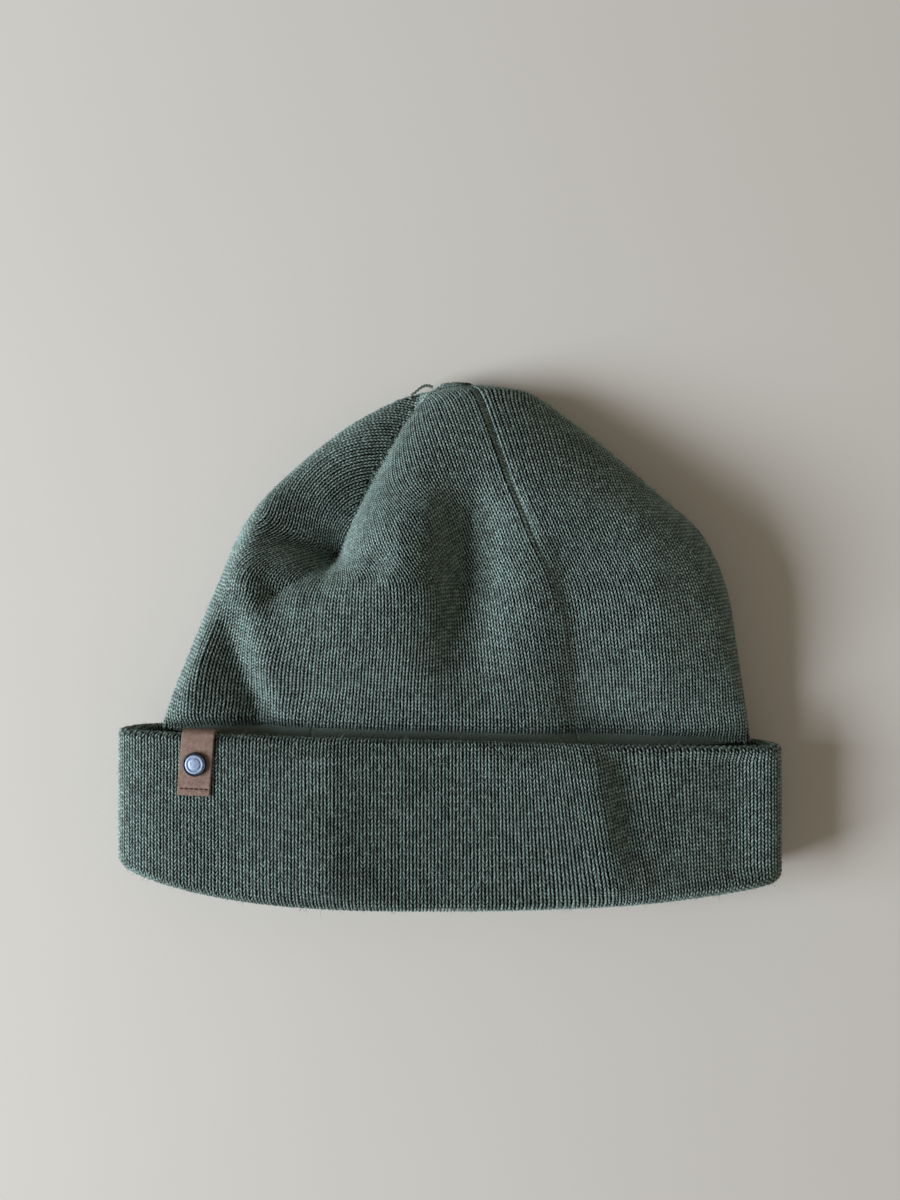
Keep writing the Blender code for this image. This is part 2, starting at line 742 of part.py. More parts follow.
def add_tab(finish):
    """Add the tab label, with the slot that the badge's post goes through."""
    pairs = tab_profile()
    near_sides, far_sides = zip(*pairs)
    profile = [*near_sides, *reversed(far_sides)]
    size = len(profile)
    asides = [-TAB_WIDTH / 2, -HALF_SLOT, HALF_SLOT, TAB_WIDTH / 2]
    points = []
    for aside in asides:
        points += [tab_point(aside, depth, below) for depth, below in profile]
    faces = []
    for start in (0, (len(asides) - 1) * size):
        for pair in range(len(pairs) - 1):
            opposite = size - 1 - pair
            faces += split_quad(start + pair, start + pair + 1, start + opposite - 1, start + opposite)
    slot = next(index for index, side in enumerate(near_sides) if side[1] == BADGE_BELOW_EDGE + HALF_SLOT)
    behind = size - 1 - slot
    middle = 1
    for step in range(len(asides) - 1):
        a = step * size
        for corner in range(size):
            if step == middle and corner in (slot, behind - 1):
                continue
            following = (corner + 1) % size
            faces += split_quad(a + corner, a + following, a + size + following, a + size + corner)
    a = middle * size
    b = a + size
    faces += split_quad(a + slot, b + slot, b + behind, a + behind)
    faces += split_quad(a + slot + 1, b + slot + 1, b + behind - 1, a + behind - 1)
    faces += split_quad(a + slot, a + slot + 1, a + behind - 1, a + behind)
    faces += split_quad(b + slot, b + slot + 1, b + behind - 1, b + behind)
    return add_solid("tab_label", points, faces, finish)


def add_tab_stitch(finish):
    """Add the sewing thread that lies in the groove near the tab's lower end."""
    below = TAB_FRONT_LENGTH - STITCH_ABOVE_END
    depth = -TAB_EASE - TAB_THICKNESS / 2 - CLEARANCE - STITCH_DIAMETER / 2
    half = TAB_WIDTH / 2 - STITCH_MARGIN
    path = [tab_point(half * share, depth, below) for share in (-1.0, -0.5, 0.0, 0.5, 1.0)]
    return add_tube("tab_stitch", path, STITCH_DIAMETER, 1, finish)


def add_badge(frame, metal, enamel):
    """Add the badge: a dark dish with a post through the tab, and a plain domed disc set in it."""
    outer = BADGE_DIAMETER / 2
    inner = outer - BADGE_RIM
    post = POST_DIAMETER / 2
    low = CLEARANCE
    floor = low + BADGE_FLOOR
    rim = low + BADGE_RIM_HEIGHT
    dish = [
        (0.0, -TAB_THICKNESS), (post, -TAB_THICKNESS), (post, low), (outer, low), (outer, rim),
        (inner, rim), (inner, floor), (0.0, floor),
    ]
    disc_low = floor + CLEARANCE
    disc_edge = inner - CLEARANCE
    disc_top = disc_low + DISC_HEIGHT
    disc = [
        (0.0, disc_low), (disc_edge, disc_low), (disc_edge, disc_top - DISC_DOME),
        (disc_edge * 0.7, disc_top - DISC_DOME / 4), (0.0, disc_top),
    ]
    return [add_turned("badge_bezel", dish, frame, metal), add_turned("badge_disc", disc, frame, enamel)]


def build():
    """Build the hat and gather its pieces under one empty."""
    clear_scene()
    slate = material("slate wool knit", SLATE_KNIT, 0.95)
    inside = material("lining knit", LINING_KNIT, 0.95)
    yarn = material("seam yarn", SEAM_YARN, 0.95)
    suede = material("brown suede", BROWN_SUEDE, 0.85)
    thread = material("brown thread", TAB_THREAD, 0.8)
    metal = material("dark metal", DARK_METAL, 0.4, 0.8)
    enamel = material("blue grey enamel", BLUE_GREY, 0.35)

    crown = Shell("crown", 0.0, 2 * PITCH, TIP_T, SEAM_BEAD, slate, yarn)
    lining = Shell("lining", PITCH, PITCH, LINING_TIP_T, LINING_BEAD, inside, yarn)
    pieces = []
    for shell, tip_height in ((crown, TIP_HEIGHT), (lining, LINING_TIP_HEIGHT)):
        pieces += [add_gore(shell, gore) for gore in ("front", "left", "right", "back")]
        pieces += [add_seam(shell, side, face) for side in ("left", "right") for face in (FRONT, BACK)]
        pieces.append(add_tip(shell, tip_height))
    pieces.append(add_yarn_end(yarn))
    pieces.append(add_cuff_outer(slate))
    pieces.append(add_cuff_inner(slate))
    pieces.append(add_cuff_join(yarn))
    frame = badge_frame()
    pieces.append(add_tab(suede))
    pieces.append(add_tab_stitch(thread))
    pieces += add_badge(frame, metal, enamel)

    hat = bpy.data.objects.new("knit_beanie", None)
    bpy.context.scene.collection.objects.link(hat)
    for piece in pieces:
        piece.parent = hat


build()
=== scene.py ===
"""Knit beanie lying on its back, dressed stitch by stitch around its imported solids.

The surfaces repeat the sizes of the solids in millimetres and add the softer folds of the real knit. Only
the crown's left side is 2 mm wider here, and the hem 1.2 mm higher, to come nearer to the photo. Rows of
V-shaped stitches follow each gore's own direction, so that the gores meet in chevrons at the darts, and
the cuff's stitches run round the hem and over the free edge.
"""

from __future__ import annotations

import json
import logging
import math
from dataclasses import dataclass, field
from enum import Enum
from functools import cached_property

import bmesh
import bpy
import numpy as np
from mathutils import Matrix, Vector

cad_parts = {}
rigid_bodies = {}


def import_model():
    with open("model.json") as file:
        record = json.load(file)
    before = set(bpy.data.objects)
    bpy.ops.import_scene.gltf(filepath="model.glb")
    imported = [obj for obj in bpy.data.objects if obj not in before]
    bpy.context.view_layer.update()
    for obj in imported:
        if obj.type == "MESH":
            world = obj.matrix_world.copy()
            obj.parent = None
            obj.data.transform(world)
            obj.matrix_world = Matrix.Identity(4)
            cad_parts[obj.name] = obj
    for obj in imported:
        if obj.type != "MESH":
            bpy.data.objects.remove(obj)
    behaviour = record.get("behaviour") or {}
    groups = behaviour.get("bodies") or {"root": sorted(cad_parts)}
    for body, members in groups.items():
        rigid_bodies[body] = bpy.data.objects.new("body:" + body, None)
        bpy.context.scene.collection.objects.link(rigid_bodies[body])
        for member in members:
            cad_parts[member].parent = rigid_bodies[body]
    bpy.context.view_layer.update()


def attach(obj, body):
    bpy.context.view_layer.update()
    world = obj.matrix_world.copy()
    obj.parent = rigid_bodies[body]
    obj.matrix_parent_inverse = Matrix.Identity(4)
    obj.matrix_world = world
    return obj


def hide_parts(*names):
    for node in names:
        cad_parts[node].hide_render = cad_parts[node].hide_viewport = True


LOG = logging.getLogger("knit_beanie")

MM = 0.001
BODY = "root"
# Most stitches in one piece, which keeps it under 200,000 triangles
STITCHES_A_PIECE = 4000
# How far a stitch reaches along its column, off the knit and across it, and the room it keeps to the floor
STITCH_REACH = (1.55, 0.85, 1.25)
FLOOR_ROOM = 0.15
# How far ahead of a stitch and behind it the direction of its column is taken
AIM_STEP = 0.6

Array = np.ndarray
Faces = list[tuple[int, ...]]
Material = bpy.types.Material
Piece = bpy.types.Object
Socket = bpy.types.NodeSocket


class Gore(Enum):
    """The four gores of the crown and of the lining."""

    FRONT = "front"
    LEFT = "left"
    RIGHT = "right"
    BACK = "back"


class Column(Enum):
    """Columns of the table of cross-sections."""

    LEFT_X = 0
    LEFT_Y = 1
    RIGHT_X = 2
    RIGHT_Y = 3
    FRONT_Z = 4
    SIDE_Z = 5
    BACK_Z = 6
    FRONT_LEFT_SEAM = 7
    FRONT_RIGHT_SEAM = 8
    BACK_LEFT_SEAM = 9
    BACK_RIGHT_SEAM = 10
    POWER = 11

    @property
    def seam(self) -> str:
        """Name of the seam in this column, such as front_left."""
        return self.name.removesuffix("_SEAM").lower()

    @property
    def face(self) -> float:
        """1 for a seam on the front and -1 for one on the back."""
        return 1.0 if self.name.startswith("FRONT") else -1.0


SEAMS = (Column.FRONT_LEFT_SEAM, Column.FRONT_RIGHT_SEAM, Column.BACK_LEFT_SEAM, Column.BACK_RIGHT_SEAM)

# The crown above the cuff: folded sides as shares of its half width and length, heights as shares of
# its height, seams as shares of the way from left to right, and how square each section is
CROWN_SHAPE = (
    (0.893, 0.256, 0.959, 0.225, 0.87, 0.33, 0.02, 0.240, 0.680, 0.25, 0.75, 2.6),
    (0.806, 0.430, 0.923, 0.406, 1.00, 0.33, 0.00, 0.222, 0.655, 0.25, 0.75, 2.4),
    (0.699, 0.619, 0.845, 0.563, 0.98, 0.31, 0.00, 0.230, 0.610, 0.25, 0.74, 2.3),
    (0.534, 0.768, 0.682, 0.697, 0.85, 0.28, 0.00, 0.221, 0.585, 0.25, 0.72, 2.2),
    (0.320, 0.905, 0.455, 0.868, 0.63, 0.24, 0.00, 0.210, 0.570, 0.26, 0.68, 2.1),
    (0.150, 0.975, 0.245, 0.988, 0.43, 0.21, 0.02, 0.225, 0.580, 0.30, 0.62, 2.0),
    (0.058, 0.993, 0.091, 1.007, 0.30, 0.19, 0.06, 0.270, 0.660, 0.30, 0.68, 2.0),
)
HEM_SEAMS = (0.25, 0.75, 0.25, 0.75)
EDGE_SEAMS = (0.25, 0.71, 0.25, 0.75)


@dataclass(frozen=True)
class Hollow:
    """A soft hollow in the crown's front, or a swelling where its depth is negative."""

    x: float
    y: float
    degrees: float
    half_length: float
    half_width: float
    depth: float

    def sink(self, x: Array, y: Array) -> Array:
        """How far the front sinks at places in plan.

        Args:
            x: Places across, in millimetres.
            y: Places towards the tip, in millimetres.

        Returns:
            Depth at each place, in millimetres.
        """
        turn = math.radians(self.degrees)
        away_x = x - self.x
        away_y = y - self.y
        along = (away_x * math.cos(turn) + away_y * math.sin(turn)) / self.half_length
        aside = (away_y * math.cos(turn) - away_x * math.sin(turn)) / self.half_width
        return self.depth * np.exp(-along * along - aside * aside)


@dataclass(frozen=True)
class Crease:
    """A sharp fold line in the crown's front, with a slope of its own on each side."""

    start_x: float
    start_y: float
    end_x: float
    end_y: float
    start_depth: float
    end_depth: float
    left_reach: float
    right_reach: float
    fade: float = 17.0
    roundness: float = 0.3

    def sink(self, x: Array, y: Array) -> Array:
        """How far the front sinks at places in plan.

        Args:
            x: Places across, in millimetres.
            y: Places towards the tip, in millimetres.

        Returns:
            Depth at each place, in millimetres.
        """
        length = math.hypot(self.end_x - self.start_x, self.end_y - self.start_y)
        run_x = (self.end_x - self.start_x) / length
        run_y = (self.end_y - self.start_y) / length
        along = (x - self.start_x) * run_x + (y - self.start_y) * run_y
        aside = (x - self.start_x) * run_y - (y - self.start_y) * run_x
        share = np.clip(along / length, 0.0, 1.0)
        beyond = (along - share * length) / self.fade
        across = aside / np.where(aside < 0, self.left_reach, self.right_reach)
        side = np.exp(self.roundness - np.hypot(across, self.roundness))
        depth = self.start_depth + share * (self.end_depth - self.start_depth)
        return depth * side * np.exp(-beyond * beyond)


# The wide hollows and creases of the solids: where two creases meet, the deeper one counts
HOLLOWS = (
    Hollow(-52, 48, 67, 28, 17, 6),
    Hollow(6, 24, 96, 31, 12, 10),
    Hollow(-77, -4, 110, 28, 11, 5),
)
CREASES = (
    Crease(-42, 30, -13, 87, 13, 3, 20, 12),
    Crease(-61, 17, -50, 24, 6, 7, 14, 11),
)

# The finer folds, which the solids don't have: swellings on both sides of the left tuck and at the left
# and right sides, the deep part of the middle valley and its right wall, a dimple, a shallow wave above
# the cuff, the sharp bottom of the tuck and of the pocket below it, the fold above the tab with the ridge
# beside it, and the fold along the lower part of the right seam
FOLDS = (
    Hollow(-71, 42, 68, 26, 7, -6.5),
    Hollow(-71, 22, 104, 12, 7, -2.5),
    Hollow(-90, -9, 71, 26, 6, -5),
    Hollow(-16, 38, 70, 24, 10, -2),
    Crease(1, -4, 9, 42, 5, 6.5, 8, 20, 12, 0.45),
    Hollow(-25, 26, 50, 7, 4, 3),
    Hollow(20, 24, 96, 30, 12, 2.5),
    Hollow(-46, -17, 4, 24, 5, 2.5),
    Hollow(71, 10, 100, 40, 9, -2.2),
    Hollow(-67, -4, 107, 27, 7, -4),
    Crease(-41.5, 31, -13, 86, 14, 9, 15, 3.5, 7, 0.12),
    Crease(-61, 17, -41, 30, 6, 5, 10, 4, 6, 0.12),
    Crease(-84, 20, -66.5, -36, 4.5, 8, 13, 6, 9, 0.3),
    Crease(47.5, -38, 39.5, 24, 8.5, 7.5, 8, 34, 14, 0.25),
)

# Slow changes of height across the cuff's front: how much, and between which places across
CUFF_SLOPES = ((1.2, -15.0, 45.0), (-1.4, -44.0, -22.0), (-4.4, 70.0, 112.0))


def smooth_rows(table: Array, t: Array) -> Array:
    """Rows of a table at fractional places, on smooth curves that never overshoot.

    Args:
        table: One row per whole place.
        t: Fractional places, of any shape.

    Returns:
        Rows at those places, with the table's columns as the last axis.
    """
    steps = np.diff(table, axis=0)
    before, after = steps[:-1], steps[1:]
    same_way = before * after > 0
    total = np.where(same_way, before + after, 1.0)
    inner = np.where(same_way, 2 * before * after / total, 0.0)
    slopes = np.vstack([steps[:1], inner, steps[-1:]])
    index = np.clip(t.astype(int), 0, len(steps) - 1)
    s = (t - index)[..., None]
    ease = s * s * (3 - 2 * s)
    leave = s * (1 - s) ** 2 * slopes[index]
    arrive = s * s * (s - 1) * slopes[index + 1]
    return table[index] + ease * steps[index] + leave + arrive


def smooth_step(values: Array, low: float, high: float) -> Array:
    """0 below low, 1 above high and a soft rise between them."""
    s = np.clip((values - low) / (high - low), 0.0, 1.0)
    return s * s * (3 - 2 * s)


def unit(vectors: Array) -> Array:
    """Vectors scaled to length one."""
    return vectors / np.maximum(np.linalg.norm(vectors, axis=-1, keepdims=True), 1e-12)


def arc_lengths(points: Array) -> Array:
    """Length run along each row of points, from its first point."""
    steps = np.linalg.norm(np.diff(points, axis=-2), axis=-1)
    start = np.zeros((*steps.shape[:-1], 1))
    return np.concatenate([start, np.cumsum(steps, axis=-1)], axis=-1)


def interpolate(at: Array, run: Array, values: Array) -> Array:
    """Points or vectors at distances along a path, from those at its own points."""
    return np.stack([np.interp(at, run, values[:, axis]) for axis in range(3)], axis=-1)


def with_neighbours(middle: Array | float, room: float) -> Array:
    """Places with one more on each side of them."""
    return np.stack([middle - room, middle, middle + room], axis=-1)


@dataclass(frozen=True)
class HatShape:
    """The lying hat's surfaces in millimetres: its solids' sizes, but a wider left side and a higher hem."""

    length: float = 192.0
    cuff_width: float = 240.0
    cuff_height: float = 34.0
    cuff_depth: float = 61.5
    crown_height: float = 46.0
    layer: float = 1.8
    clearance: float = 0.3
    hem_lift_left: float = 14.0
    hem_lift_right: float = 8.0
    hem_room: float = 1.2
    free_edge_slope: float = 0.025
    cuff_power: float = 3.0
    hem_side_room: float = 0.8
    left_side_room: float = 11.0
    right_side_room: float = 6.5
    front_room: float = 2.6
    tip_height: float = 2.2
    join_x: float = 57.0
    join_lean: float = -0.17
    join_width: float = 13.0
    join_lip: float = 4.5
    join_drop: float = 5.2
    step_ahead: float = 5.0
    lip_reach: float = 24.0
    crest_x: float = -42.0
    crest_height: float = 3.4
    cuff_pinch: float = 6.0
    right_groove: float = 1.7
    right_groove_width: float = 1.1
    back_groove: float = 0.9
    groove_width: float = 1.7

    @property
    def layer_pitch(self) -> float:
        """One layer and the room to the next."""
        return self.layer + self.clearance

    @property
    def cuff_wall(self) -> float:
        """Thickness of the cuff's two layers."""
        return self.layer_pitch + self.layer

    @property
    def crown_inset(self) -> float:
        """Depth of the crown's face below the cuff's face."""
        return self.cuff_wall + self.clearance

    @property
    def lining_end(self) -> float:
        """Depth of the lining's inner face below the cuff's face."""
        return self.crown_inset + self.layer_pitch + self.layer

    @property
    def free_edge_level(self) -> float:
        """Y of the cuff's free edge in the middle."""
        return self.cuff_depth - self.length / 2

    @property
    def tip_y(self) -> float:
        """Y where the gores end."""
        return self.length / 2 - self.tip_height - self.clearance

    @property
    def tip_t(self) -> int:
        """Last cross-section of the crown."""
        return len(CROWN_SHAPE) + 1

    @cached_property
    def stations(self) -> Array:
        """Table of cross-sections from the hem to the tip."""
        middle = self.cuff_width / 2 - self.crown_inset
        hem_half = middle - self.hem_side_room
        left_half = middle - self.left_side_room
        right_half = middle - self.right_side_room
        front_z = self.cuff_height - self.crown_inset
        side_z = self.cuff_height / 2
        ends = np.array([-hem_half, hem_half, -left_half, right_half])
        hems = self.hem_y(ends)
        edges = self.free_edge_y(ends)
        hem = [-hem_half, hems[0], hem_half, hems[1], front_z, side_z, self.crown_inset]
        edge = [-left_half, edges[2], right_half, edges[3]]
        edge += [front_z - self.front_room, side_z, self.crown_inset]
        upper = np.array(CROWN_SHAPE)
        reach = self.tip_y - self.free_edge_level
        upper[:, 0] *= -left_half
        upper[:, 2] *= right_half
        upper[:, [1, 3]] = self.free_edge_level + upper[:, [1, 3]] * reach
        upper[:, 4:7] *= self.crown_height
        first = [[*hem, *HEM_SEAMS, self.cuff_power], [*edge, *EDGE_SEAMS, self.cuff_power]]
        return np.vstack([first, upper])

    def hem_y(self, x: Array) -> Array:
        """Y of the hat's lower edge, which lifts towards both ends."""
        share = 2 * x / self.cuff_width
        left = self.hem_lift_left * np.maximum(0.0, -share) ** 3
        right = self.hem_lift_right * np.maximum(0.0, share) ** 2
        return left + right - self.length / 2 + self.hem_room

    def free_edge_y(self, x: Array) -> Array:
        """Y of the cuff's free edge."""
        return self.free_edge_level - self.free_edge_slope * x

    def station(self, t: Array) -> Array:
        """Cross-sections at fractional places along the crown."""
        return smooth_rows(self.stations, t)

    def sides(self, t: Array, depth: float) -> tuple[Array, Array]:
        """The crown's two folded sides in plan, moved inward.

        Args:
            t: Places along the crown.
            depth: How far the sides move inward.

        Returns:
            Left and right points in plan.
        """
        row = self.station(t)
        low = self.station(np.maximum(t - 0.02, 0.0))
        high = self.station(np.minimum(t + 0.02, self.tip_t))
        run_left = unit(high[..., 0:2] - low[..., 0:2])
        run_right = unit(high[..., 2:4] - low[..., 2:4])
        inward_left = np.stack([run_left[..., 1], -run_left[..., 0]], axis=-1)
        inward_right = np.stack([-run_right[..., 1], run_right[..., 0]], axis=-1)
        return row[..., 0:2] + depth * inward_left, row[..., 2:4] + depth * inward_right

    def front_sink(self, across: Array, t: Array, flat: Array, width: Array, row: Array) -> Array:
        """How far the crown's front sinks: hollows, and the grooves along its two seams.

        Args:
            across: Places from the left fold, 0, to the right fold, 1.
            t: Places along the crown.
            flat: The same places in plan.
            width: Width of each row.
            row: Cross-section of each row.

        Returns:
            Depth at each place.
        """
        above_cuff = smooth_step(t, 0.6, 1.4)
        x, y = flat[..., 0], flat[..., 1]
        total = sum(crease.sink(x, y) ** 3 for crease in CREASES) ** (1 / 3)
        total = total + sum(hollow.sink(x, y) for hollow in HOLLOWS)
        total = total + above_cuff * sum(fold.sink(x, y) for fold in FOLDS)
        share = 2 * across - 1
        pinch_width = 0.055 + 0.05 * share ** 4
        total = total + self.cuff_pinch * np.exp(-(((t - 1.02) / pinch_width) ** 2))
        right = (across - row[..., Column.FRONT_RIGHT_SEAM.value]) * width / self.right_groove_width
        near_tip = 1.0 - smooth_step(t, 7.2, 7.9)
        right_part = smooth_step(t, 2.6, 4.4) * near_tip
        total = total + self.right_groove * right_part * np.exp(-right * right)
        ridge = (1.0 - smooth_step(t, 2.2, 3.4)) * above_cuff
        return total - 0.7 * ridge * np.exp(-(right / 3.0) ** 2)

    def crown(self, across: Array, face: Array, t: Array, depth: float = 0.0, start: float = 4.2,
              drawn: Array | float = 1.0) -> Array:
        """Points of the crown.

        Args:
            across: Places from the left fold, 0, to the right fold, 1.
            face: 1 on the front and -1 on the back.
            t: Places along the crown, from the hem, 0, to the tip.
            depth: Depth below the crown's face.
            start: Height above the hem where the layer starts.
            drawn: How far each section is shrunk to its middle.

        Returns:
            Points, with x, y and z as the last axis.
        """
        across, face, t, drawn = np.broadcast_arrays(across, face, t, drawn)
        row = self.station(t)
        left, right = self.sides(t, depth)
        share = 2 * across - 1
        flat = (left + right) / 2 + (right - left) / 2 * (share * drawn)[..., None]
        width = np.linalg.norm(right - left, axis=-1)
        heights = (Column.FRONT_Z, Column.SIDE_Z, Column.BACK_Z)
        front_z, side_z, back_z = (row[..., column.value] for column in heights)
        power = row[..., Column.POWER.value]
        dome = np.maximum(0.0, 1.0 - np.abs(share) ** power) ** (1.0 / power)
        sink = self.front_sink(across, t, flat, width, row)
        front = side_z + dome * (front_z - depth - side_z - sink)
        reach = side_z - back_z - depth
        roll = np.minimum(0.7, 2 * reach / width)
        past = np.maximum(0.0, np.abs(share) - (1.0 - roll)) / roll
        back = side_z - reach * np.sqrt(np.maximum(0.0, 1.0 - past * past))
        above_cuff = smooth_step(t, 1.0, 1.8) * (1.0 - smooth_step(t, 7.0, 7.8))
        for column in (Column.BACK_LEFT_SEAM, Column.BACK_RIGHT_SEAM):
            aside = (across - row[..., column.value]) * width / self.groove_width
            back = back + self.back_groove * above_cuff * np.exp(-aside * aside)
        middle = (front_z + back_z) / 2
        z = middle + (np.where(face > 0, front, back) - middle) * drawn
        x = flat[..., 0]
        under_cuff = (1 - t) * (self.hem_y(x) + start) + t * self.free_edge_y(x)
        y = np.where(t < 1, under_cuff, flat[..., 1])
        below = (t < 1) & (face > 0)
        z = z + np.where(below, self.cuff_relief(x - self.cuff_lean(x, y), y), 0.0)
        return np.stack([x, y, z], axis=-1)

    def lining_draw(self, t: Array) -> Array:
        """How far the lining is drawn in on its way to its own tip."""
        return 1.0 - 0.5 * smooth_step(t, self.tip_t - 3, self.tip_t - 1)

    def lining(self, across: Array, face: Array, t: Array, depth: float) -> Array:
        """Points of the lining at a depth below the crown's face."""
        return self.crown(across, face, t, depth, self.layer_pitch, self.lining_draw(t))

    def places(self, gore: Gore, t: Array, columns: int, inset: float) -> tuple[Array, Array]:
        """Places across a gore, closer together towards a fold.

        Args:
            gore: Which gore.
            t: Places along the crown.
            columns: How many places across.
            inset: Room left at each seam, in millimetres.

        Returns:
            Places from the left fold to the right fold, and 1 for the front or -1 for the back.
        """
        row = self.station(t)
        left, right = self.sides(t, 0.0)
        room = inset / np.linalg.norm(right - left, axis=-1)
        if gore in (Gore.FRONT, Gore.BACK):
            first = Column.FRONT_LEFT_SEAM if gore is Gore.FRONT else Column.BACK_LEFT_SEAM
            low = row[:, first.value] + room
            high = row[:, first.value + 1] - room
            u = np.linspace(0.0, 1.0, columns)
            across = low[:, None] + (high - low)[:, None] * u
            return across, np.full_like(across, 1.0 if gore is Gore.FRONT else -1.0)
        u = np.linspace(1.0, -1.0, columns)
        if gore is Gore.LEFT:
            front = row[:, Column.FRONT_LEFT_SEAM.value] - room
            back = row[:, Column.BACK_LEFT_SEAM.value] - room
        else:
            front = 1.0 - row[:, Column.FRONT_RIGHT_SEAM.value] - room
            back = 1.0 - row[:, Column.BACK_RIGHT_SEAM.value] - room
        edge = np.where(u >= 0, front[:, None], back[:, None])
        across = edge * u * u
        across = across if gore is Gore.LEFT else 1.0 - across
        return across, np.broadcast_to(np.where(u >= 0, 1.0, -1.0), across.shape)

    def outward(self, points: Array, t: Array) -> Array:
        """Unit vectors out of the hat on a grid of crown points.

        Args:
            points: Grid of points, rows along the crown and columns across it.
            t: Place of each row.

        Returns:
            One vector for each point.
        """
        across = np.gradient(points, axis=1)
        along = np.gradient(points, axis=0)
        normals = unit(np.cross(across, along))
        row = self.station(t)
        middle = np.stack([(row[:, 0] + row[:, 2]) / 2, (row[:, 1] + row[:, 3]) / 2, row[:, 5]], axis=-1)
        away = points - middle[:, None, :]
        away[..., 1] = 0.0
        return normals if np.sum(normals * away) > 0 else -normals

    def cuff_relief(self, x: Array, y: Array) -> Array:
        """How far the cuff's front stands proud of a plain band: the lap of its join, and soft waves.

        Args:
            x: Places across.
            y: Places towards the tip.

        Returns:
            Height at each place, 0 at the hem, the free edge and the two folds.
        """
        beside = x - self.join_x + self.step_ahead
        past = np.maximum(beside - self.join_width, 0.0)
        lip = self.join_lip * np.exp(np.minimum(beside, 0.0) / self.lip_reach) * np.exp(-past / 8.0)
        drop = self.join_drop * smooth_step(beside, 0.0, self.join_width) * np.exp(-past / 10.0)
        drop = drop * (0.45 + 0.55 * smooth_step(y - self.hem_y(x), 8.0, 30.0))
        wave = 0.4 * np.sin(x / 19.0 + 0.6) * np.sin(y / 13.0) + 0.3 * np.sin(x / 8.3 + y / 17.0)
        from_crest = x - self.crest_x
        crest_reach = np.where(from_crest < 0, 24.0, 20.0)
        wave = wave + self.crest_height * np.exp((4.0 - np.hypot(from_crest, 4.0)) / crest_reach)
        for height, low, high in CUFF_SLOPES:
            wave = wave + height * smooth_step(x, low, high)
        fade = smooth_step(y - self.hem_y(x), 2.0, 9.0) * smooth_step(self.free_edge_y(x) - y, 0.5, 7.0)
        fade = fade * (1.0 - smooth_step(np.abs(x), 98.0, 119.0))
        return fade * (lip - drop + wave - 0.6)

    def cuff_lean(self, x: Array, y: Array) -> Array:
        """How far the cuff's columns lean aside beside the join."""
        middle = self.free_edge_level - self.cuff_depth / 2
        return self.join_lean * (y - middle) * np.exp(-(((x - self.join_x) / 26.0) ** 2))

    def cuff(self, across: Array, face: Array, depth: Array, hem_up: Array, share_up: Array,
             edge_down: Array) -> Array:
        """Points of the cuff.

        Args:
            across: Places from the left fold to the right fold.
            face: 1 on the front and -1 on the back.
            depth: Depth below the cuff's face.
            hem_up: Height above the hem.
            share_up: How far the place has gone from the hem, 0, to the free edge, 1.
            edge_down: Distance below the free edge.

        Returns:
            Points, with x, y and z as the last axis.
        """
        share = 2 * across - 1
        half = self.cuff_width / 2 - depth
        reach = self.cuff_height / 2 - depth
        x = half * share
        y = (1 - share_up) * (self.hem_y(x) + hem_up) + share_up * (self.free_edge_y(x) - edge_down)
        dome = np.maximum(0.0, 1.0 - np.abs(share) ** self.cuff_power) ** (1.0 / self.cuff_power)
        roll = reach / half
        past = np.maximum(0.0, np.abs(share) - (1.0 - roll)) / roll
        flat = np.sqrt(np.maximum(0.0, 1.0 - past * past))
        on_front = np.where(face > 0, 1.0, 0.0)
        rise = np.where(face > 0, dome, -flat)
        z = self.cuff_height / 2 + reach * rise + on_front * self.cuff_relief(x, y)
        return np.stack([x + on_front * self.cuff_lean(x, y), y, z], axis=-1)

    def ring(self, count: int) -> tuple[Array, Array]:
        """Places round the cuff from its join, closer together at the folds.

        Args:
            count: Places on each of the four stretches between the join, the folds and the middles.

        Returns:
            Places from the left fold to the right fold, and 1 for the front or -1 for the back.
        """
        join = 0.5 + self.join_x / self.cuff_width
        u = np.linspace(0.0, 1.0, count)
        to_left = join * (1.0 - u) ** 2
        back_left = 0.5 * u[1:] ** 2
        back_right = 1.0 - 0.5 * (1.0 - u[1:]) ** 2
        to_join = 1.0 - (1.0 - join) * u[1:] ** 2
        across = np.concatenate([to_left, back_left, back_right, to_join])
        face = np.where(np.arange(len(across)) < count, 1.0, -1.0)
        face[count + 2 * (count - 1) - 1:] = 1.0
        return across, face


def add_node(tree: bpy.types.NodeTree, kind: str, inputs: dict | None = None,
             **settings: object) -> bpy.types.Node:
    """Add a node with its settings, values and links.

    Args:
        tree: Node tree to add to.
        kind: Type of the node.
        inputs: Values or other nodes' outputs for its inputs, by name or place.
        settings: Properties of the node.

    Returns:
        The new node.
    """
    node = tree.nodes.new(kind)
    for name, value in settings.items():
        setattr(node, name, value)
    for key, value in (inputs or {}).items():
        if isinstance(value, Socket):
            tree.links.new(value, node.inputs[key])
        else:
            node.inputs[key].default_value = value
    return node


def linear(colour: str) -> tuple[float, float, float, float]:
    """Linear colour of an sRGB hex value."""
    parts = [int(colour[place:place + 2], 16) / 255 for place in (1, 3, 5)]
    return (*(p / 12.92 if p <= 0.04045 else ((p + 0.055) / 1.055) ** 2.4 for p in parts), 1.0)


